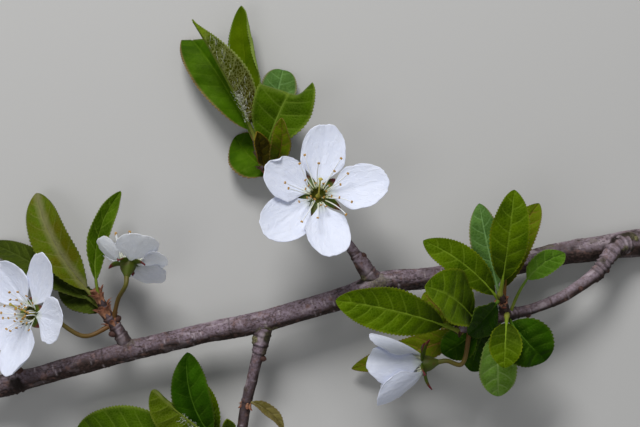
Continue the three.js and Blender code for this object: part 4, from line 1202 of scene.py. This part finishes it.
def stamens(name, filament, anther, random):
    """A bloom's filaments, and its anthers, each with two lobes."""
    bloom, centre, facing, right, turn = bloom_frame(name)
    raised = unit(np.array(bloom.get("stamens", bloom["axis"]), float))
    threads, tips = Shape(), Shape()
    measured = name == "middle_bloom"
    lean = 0 if measured else random.uniform(0, 360)
    share = bloom["open"]
    for angle, far, high in ANTHERS:
        jitter = 0 if measured else random.uniform(-8, 8)
        out = around(right, turn, math.radians(angle + lean + jitter))
        foot = centre + out * min(1.5, far) - facing * 0.3
        high = high + (1 - share) * 3.0
        far = max(1.2 * share, far * share)
        end = centre + out * far + raised * high
        hand = foot + raised * (0.55 * high + 0.4) + out * 0.4 * far
        u = even(14)
        sway = np.cross(out, facing) * random.uniform(-0.35, 0.35)
        line = (1 - u) ** 2 * foot + 2 * u * (1 - u) * hand + u**2 * end + sway * (u * (1 - u) * 4)
        add_tube(threads, line, FILAMENT_RADIUS - 0.04 * u[:, 0], 8, out=u)
        way = unit(line[-1] - line[-3])
        side = unit(np.cross(way, out + 0.01))
        axes = [side * 0.15, np.cross(way, side) * 0.17, way * 0.25]  # half of a lobe's width and length
        for sign in (-1, 1):
            middle = end + side * 0.13 * sign + way * 0.05
            add_ball(tips, middle, axes, 10, 10, int(random.integers(0, 99)))
    threads.piece(name + "_filaments", [filament], "stamen")
    tips.piece(name + "_anthers", [anther], "anther")


def cup_and_sepals(name, looks, random):
    """The green cup, its five pointed sepals between the petals, and the pistil."""
    bloom, centre, facing, right, turn = bloom_frame(name)
    shape = Shape()
    angle = full_turn(CUP_COLUMNS)
    ribs = 1 + 0.025 * np.cos(5 * angle) + 0.02 * np.cos(10 * angle)
    outward = around(right, turn, angle) * ribs[:, None]
    radius, height = CUP_PROFILE[:, :1, None], CUP_PROFILE[:, 1:, None]
    inner = np.arange(len(CUP_PROFILE)) >= CUP_INSIDE
    rings = centre + outward * radius + facing * (height * CUP_DEPTH)
    shape.tube(rings, out=np.where(inner, 0.15, 0.6)[:, None])
    order = sorted(angle for angle, *_ in bloom["petals"])
    for before, after in zip(order, order[1:] + [order[0] + 360]):
        away = around(right, turn, math.radians((before + after) / 2 + random.uniform(-4, 4)))
        rise = math.radians(random.uniform(-22, -4))
        root = centre + away * 1.5 - facing * 0.35
        tip = root + (away * math.cos(rise) + facing * math.sin(rise)) * bloom.get("sepals", 4.0)
        blade = Blade(root, tip, facing, 0.35)
        rows, columns = SEPAL_GRID
        s, a = even(rows), even(columns, -1, 1).T
        half = SEPAL_HALF * (1 - s**1.6) * (0.85 + 0.5 * s) + 0.03
        half = half + 0.05 * (np.arange(rows) % 3 == 0)[:, None] * (np.abs(a) > 0.9)
        over = blade.over(s + 0 * a)
        middle = blade.rib(s + 0 * a) + blade.right * (half * a)[..., None]
        middle = middle + over * (0.3 * half * a**2)[..., None]
        shape.blade(middle + over * SEPAL_SKIN, middle - over * SEPAL_SKIN, looks=1, out=s)
    u = even(16)
    tilt = right * -0.1 + turn * 1.8
    style = centre - facing * 1.2 + facing * STYLE_LENGTH * u + tilt * u**1.5
    add_tube(shape, style, 0.16 + 0.42 * bell(u[:, 0], 0.14) + 0.02 * u[:, 0], 12, 2, out=1.0)
    axes = [right * 0.42, turn * 0.36, facing * 0.2]
    add_ball(shape, style[-1] + facing * 0.06, axes, 12, 16, 3, 3)
    shape.piece(name + "_cup", looks, "flower_stalk")


def flower_stalk(name, look):
    """A bloom's own stalk, from inside its twig to the foot of the cup, where it widens."""
    bloom, centre, facing, _, _ = bloom_frame(name)
    foot = centre - facing * (CUP_DEPTH + PIECE_GAP)
    path = smooth_path([*bloom["stalk"], foot - facing * 1.5, foot + facing * 0.3], 0.25)
    run = np.linspace(0, 1, len(path))
    radii = STALK_RADIUS * (0.92 + 0.35 * np.exp(-run * 14) + 0.16 * np.exp(-(1 - run) * 16))
    shape = Shape()
    add_tube(shape, path, radii + 0.02 * noise(path, 1.2, 3), 18, out=run[:, None])
    shape.piece(name + "_stalk_skin", [look], "flower_stalk", [name + "_stalk"])


# The stage


def stand(name, data, place):
    """Puts a camera, lamp or mesh in the scene."""
    made = bpy.data.objects.new(name, data)
    made.location = place
    bpy.context.scene.collection.objects.link(made)
    return made


def stage():
    """A plain pale floor, soft light from the side that lights the branch in the photograph, and the
    camera straight above."""
    mesh = bpy.data.meshes.new("floor")
    corners = [(x * FLOOR_HALF, y * FLOOR_HALF, 0) for x, y in ((-1, -1), (1, -1), (1, 1), (-1, 1))]
    mesh.from_pydata(corners, [], [(0, 1, 2, 3)])
    look = Look("floor", Roughness=0.9, Specular_IOR_Level=0.1, Base_Color=linear((192, 191, 189)))
    mesh.materials.append(look.material)
    stand("floor", mesh, (0, 0, 0))
    world = bpy.data.worlds.new("world")
    world.use_nodes = True
    background = world.node_tree.nodes["Background"].inputs
    background["Color"].default_value = (0.93, 0.96, 1.0, 1.0)
    background["Strength"].default_value = 0.25
    bpy.context.scene.world = world
    for name, place, size, power in (
        ("key_light", (-0.10, 0.42, 0.42), 0.24, 2.7),
        ("front_light", (-0.25, -0.15, 0.60), 0.35, 0.45),
    ):
        light = bpy.data.lights.new(name, "AREA")
        light.shape = "DISK"
        light.size = size
        light.energy = power
        toward = Vector((0.0, 0.0, 0.01)) - Vector(place)
        stand(name, light, place).rotation_euler = toward.to_track_quat("-Z", "Y").to_euler()
    camera = bpy.data.cameras.new("camera")
    camera.lens = 100
    camera.sensor_width = 36
    camera.clip_start = 0.01
    camera.clip_end = 10
    above = (np.array([0.0, 0.0, CAMERA_HEIGHT]) - TABLE_POINT) * MM
    bpy.context.scene.camera = stand("camera", camera, above)
    bpy.context.scene.view_settings.view_transform = "Standard"


def build():
    random = np.random.default_rng(7)
    bark = bark_look()
    for name in LIMBS:
        bark_limb(name, bark, random)
    cut_faces(cut_wood_look())
    brown = scale_look("brown_scale", (104, 68, 50), (58, 36, 28))
    pink = scale_look("pink_scale", (176, 126, 94), (136, 84, 62))
    bud_scales([brown, pink], random)
    side_buds(scale_look("bud_skin", (92, 60, 50), (50, 32, 30)))
    skins = {tint: [leaf_skin(tint, False), leaf_skin(tint, True), rib_look(tint)] for tint in LEAF_LOOKS}
    # The leaves that fill the right cluster draw numbers of their own, so that they change nothing else.
    filling = np.random.default_rng(11)
    for name, row in LEAVES.items():
        leaf(name, skins[row[-1]], filling if name in NO_SOLID else random)
    wool = plain_look("wool", (236, 238, 226), (208, 212, 190), 0.8, Roughness=0.8)
    for name in WOOL:
        hairs(name, wool, random)
    petal = petal_look("petal", 0.25, 0.5)
    thin_petal = petal_look("thin_petal", 0.8, 1.2)
    filament = green_look("filament", (232, 234, 194), (242, 244, 248), (236, 240, 228), (0.1, 0.5))
    anther = plain_look("anther", (206, 158, 72), (150, 112, 54), 0.25, Roughness=0.75)
    cup = green_look("cup_skin", (58, 66, 8), (84, 100, 20), (86, 58, 26))
    sepal = green_look("sepal_skin", (72, 92, 10), (104, 20, 36), (84, 76, 16), (0.5, 0.8))
    pistil = green_look("pistil_skin", (190, 186, 78), (198, 188, 84), (170, 170, 60))
    stigma = plain_look("stigma", (200, 184, 92), (176, 160, 70), 0.3, Roughness=0.6)
    stalk = green_look("stalk_skin", (106, 68, 34), (92, 94, 26), (92, 68, 32))
    for name in BLOOMS:
        petals(name, thin_petal if name == "back_bloom" else petal, random)
        stamens(name, filament, anther, random)
        cup_and_sepals(name, [cup, sepal, pistil, stigma], random)
        flower_stalk(name, stalk)


build()
stage()
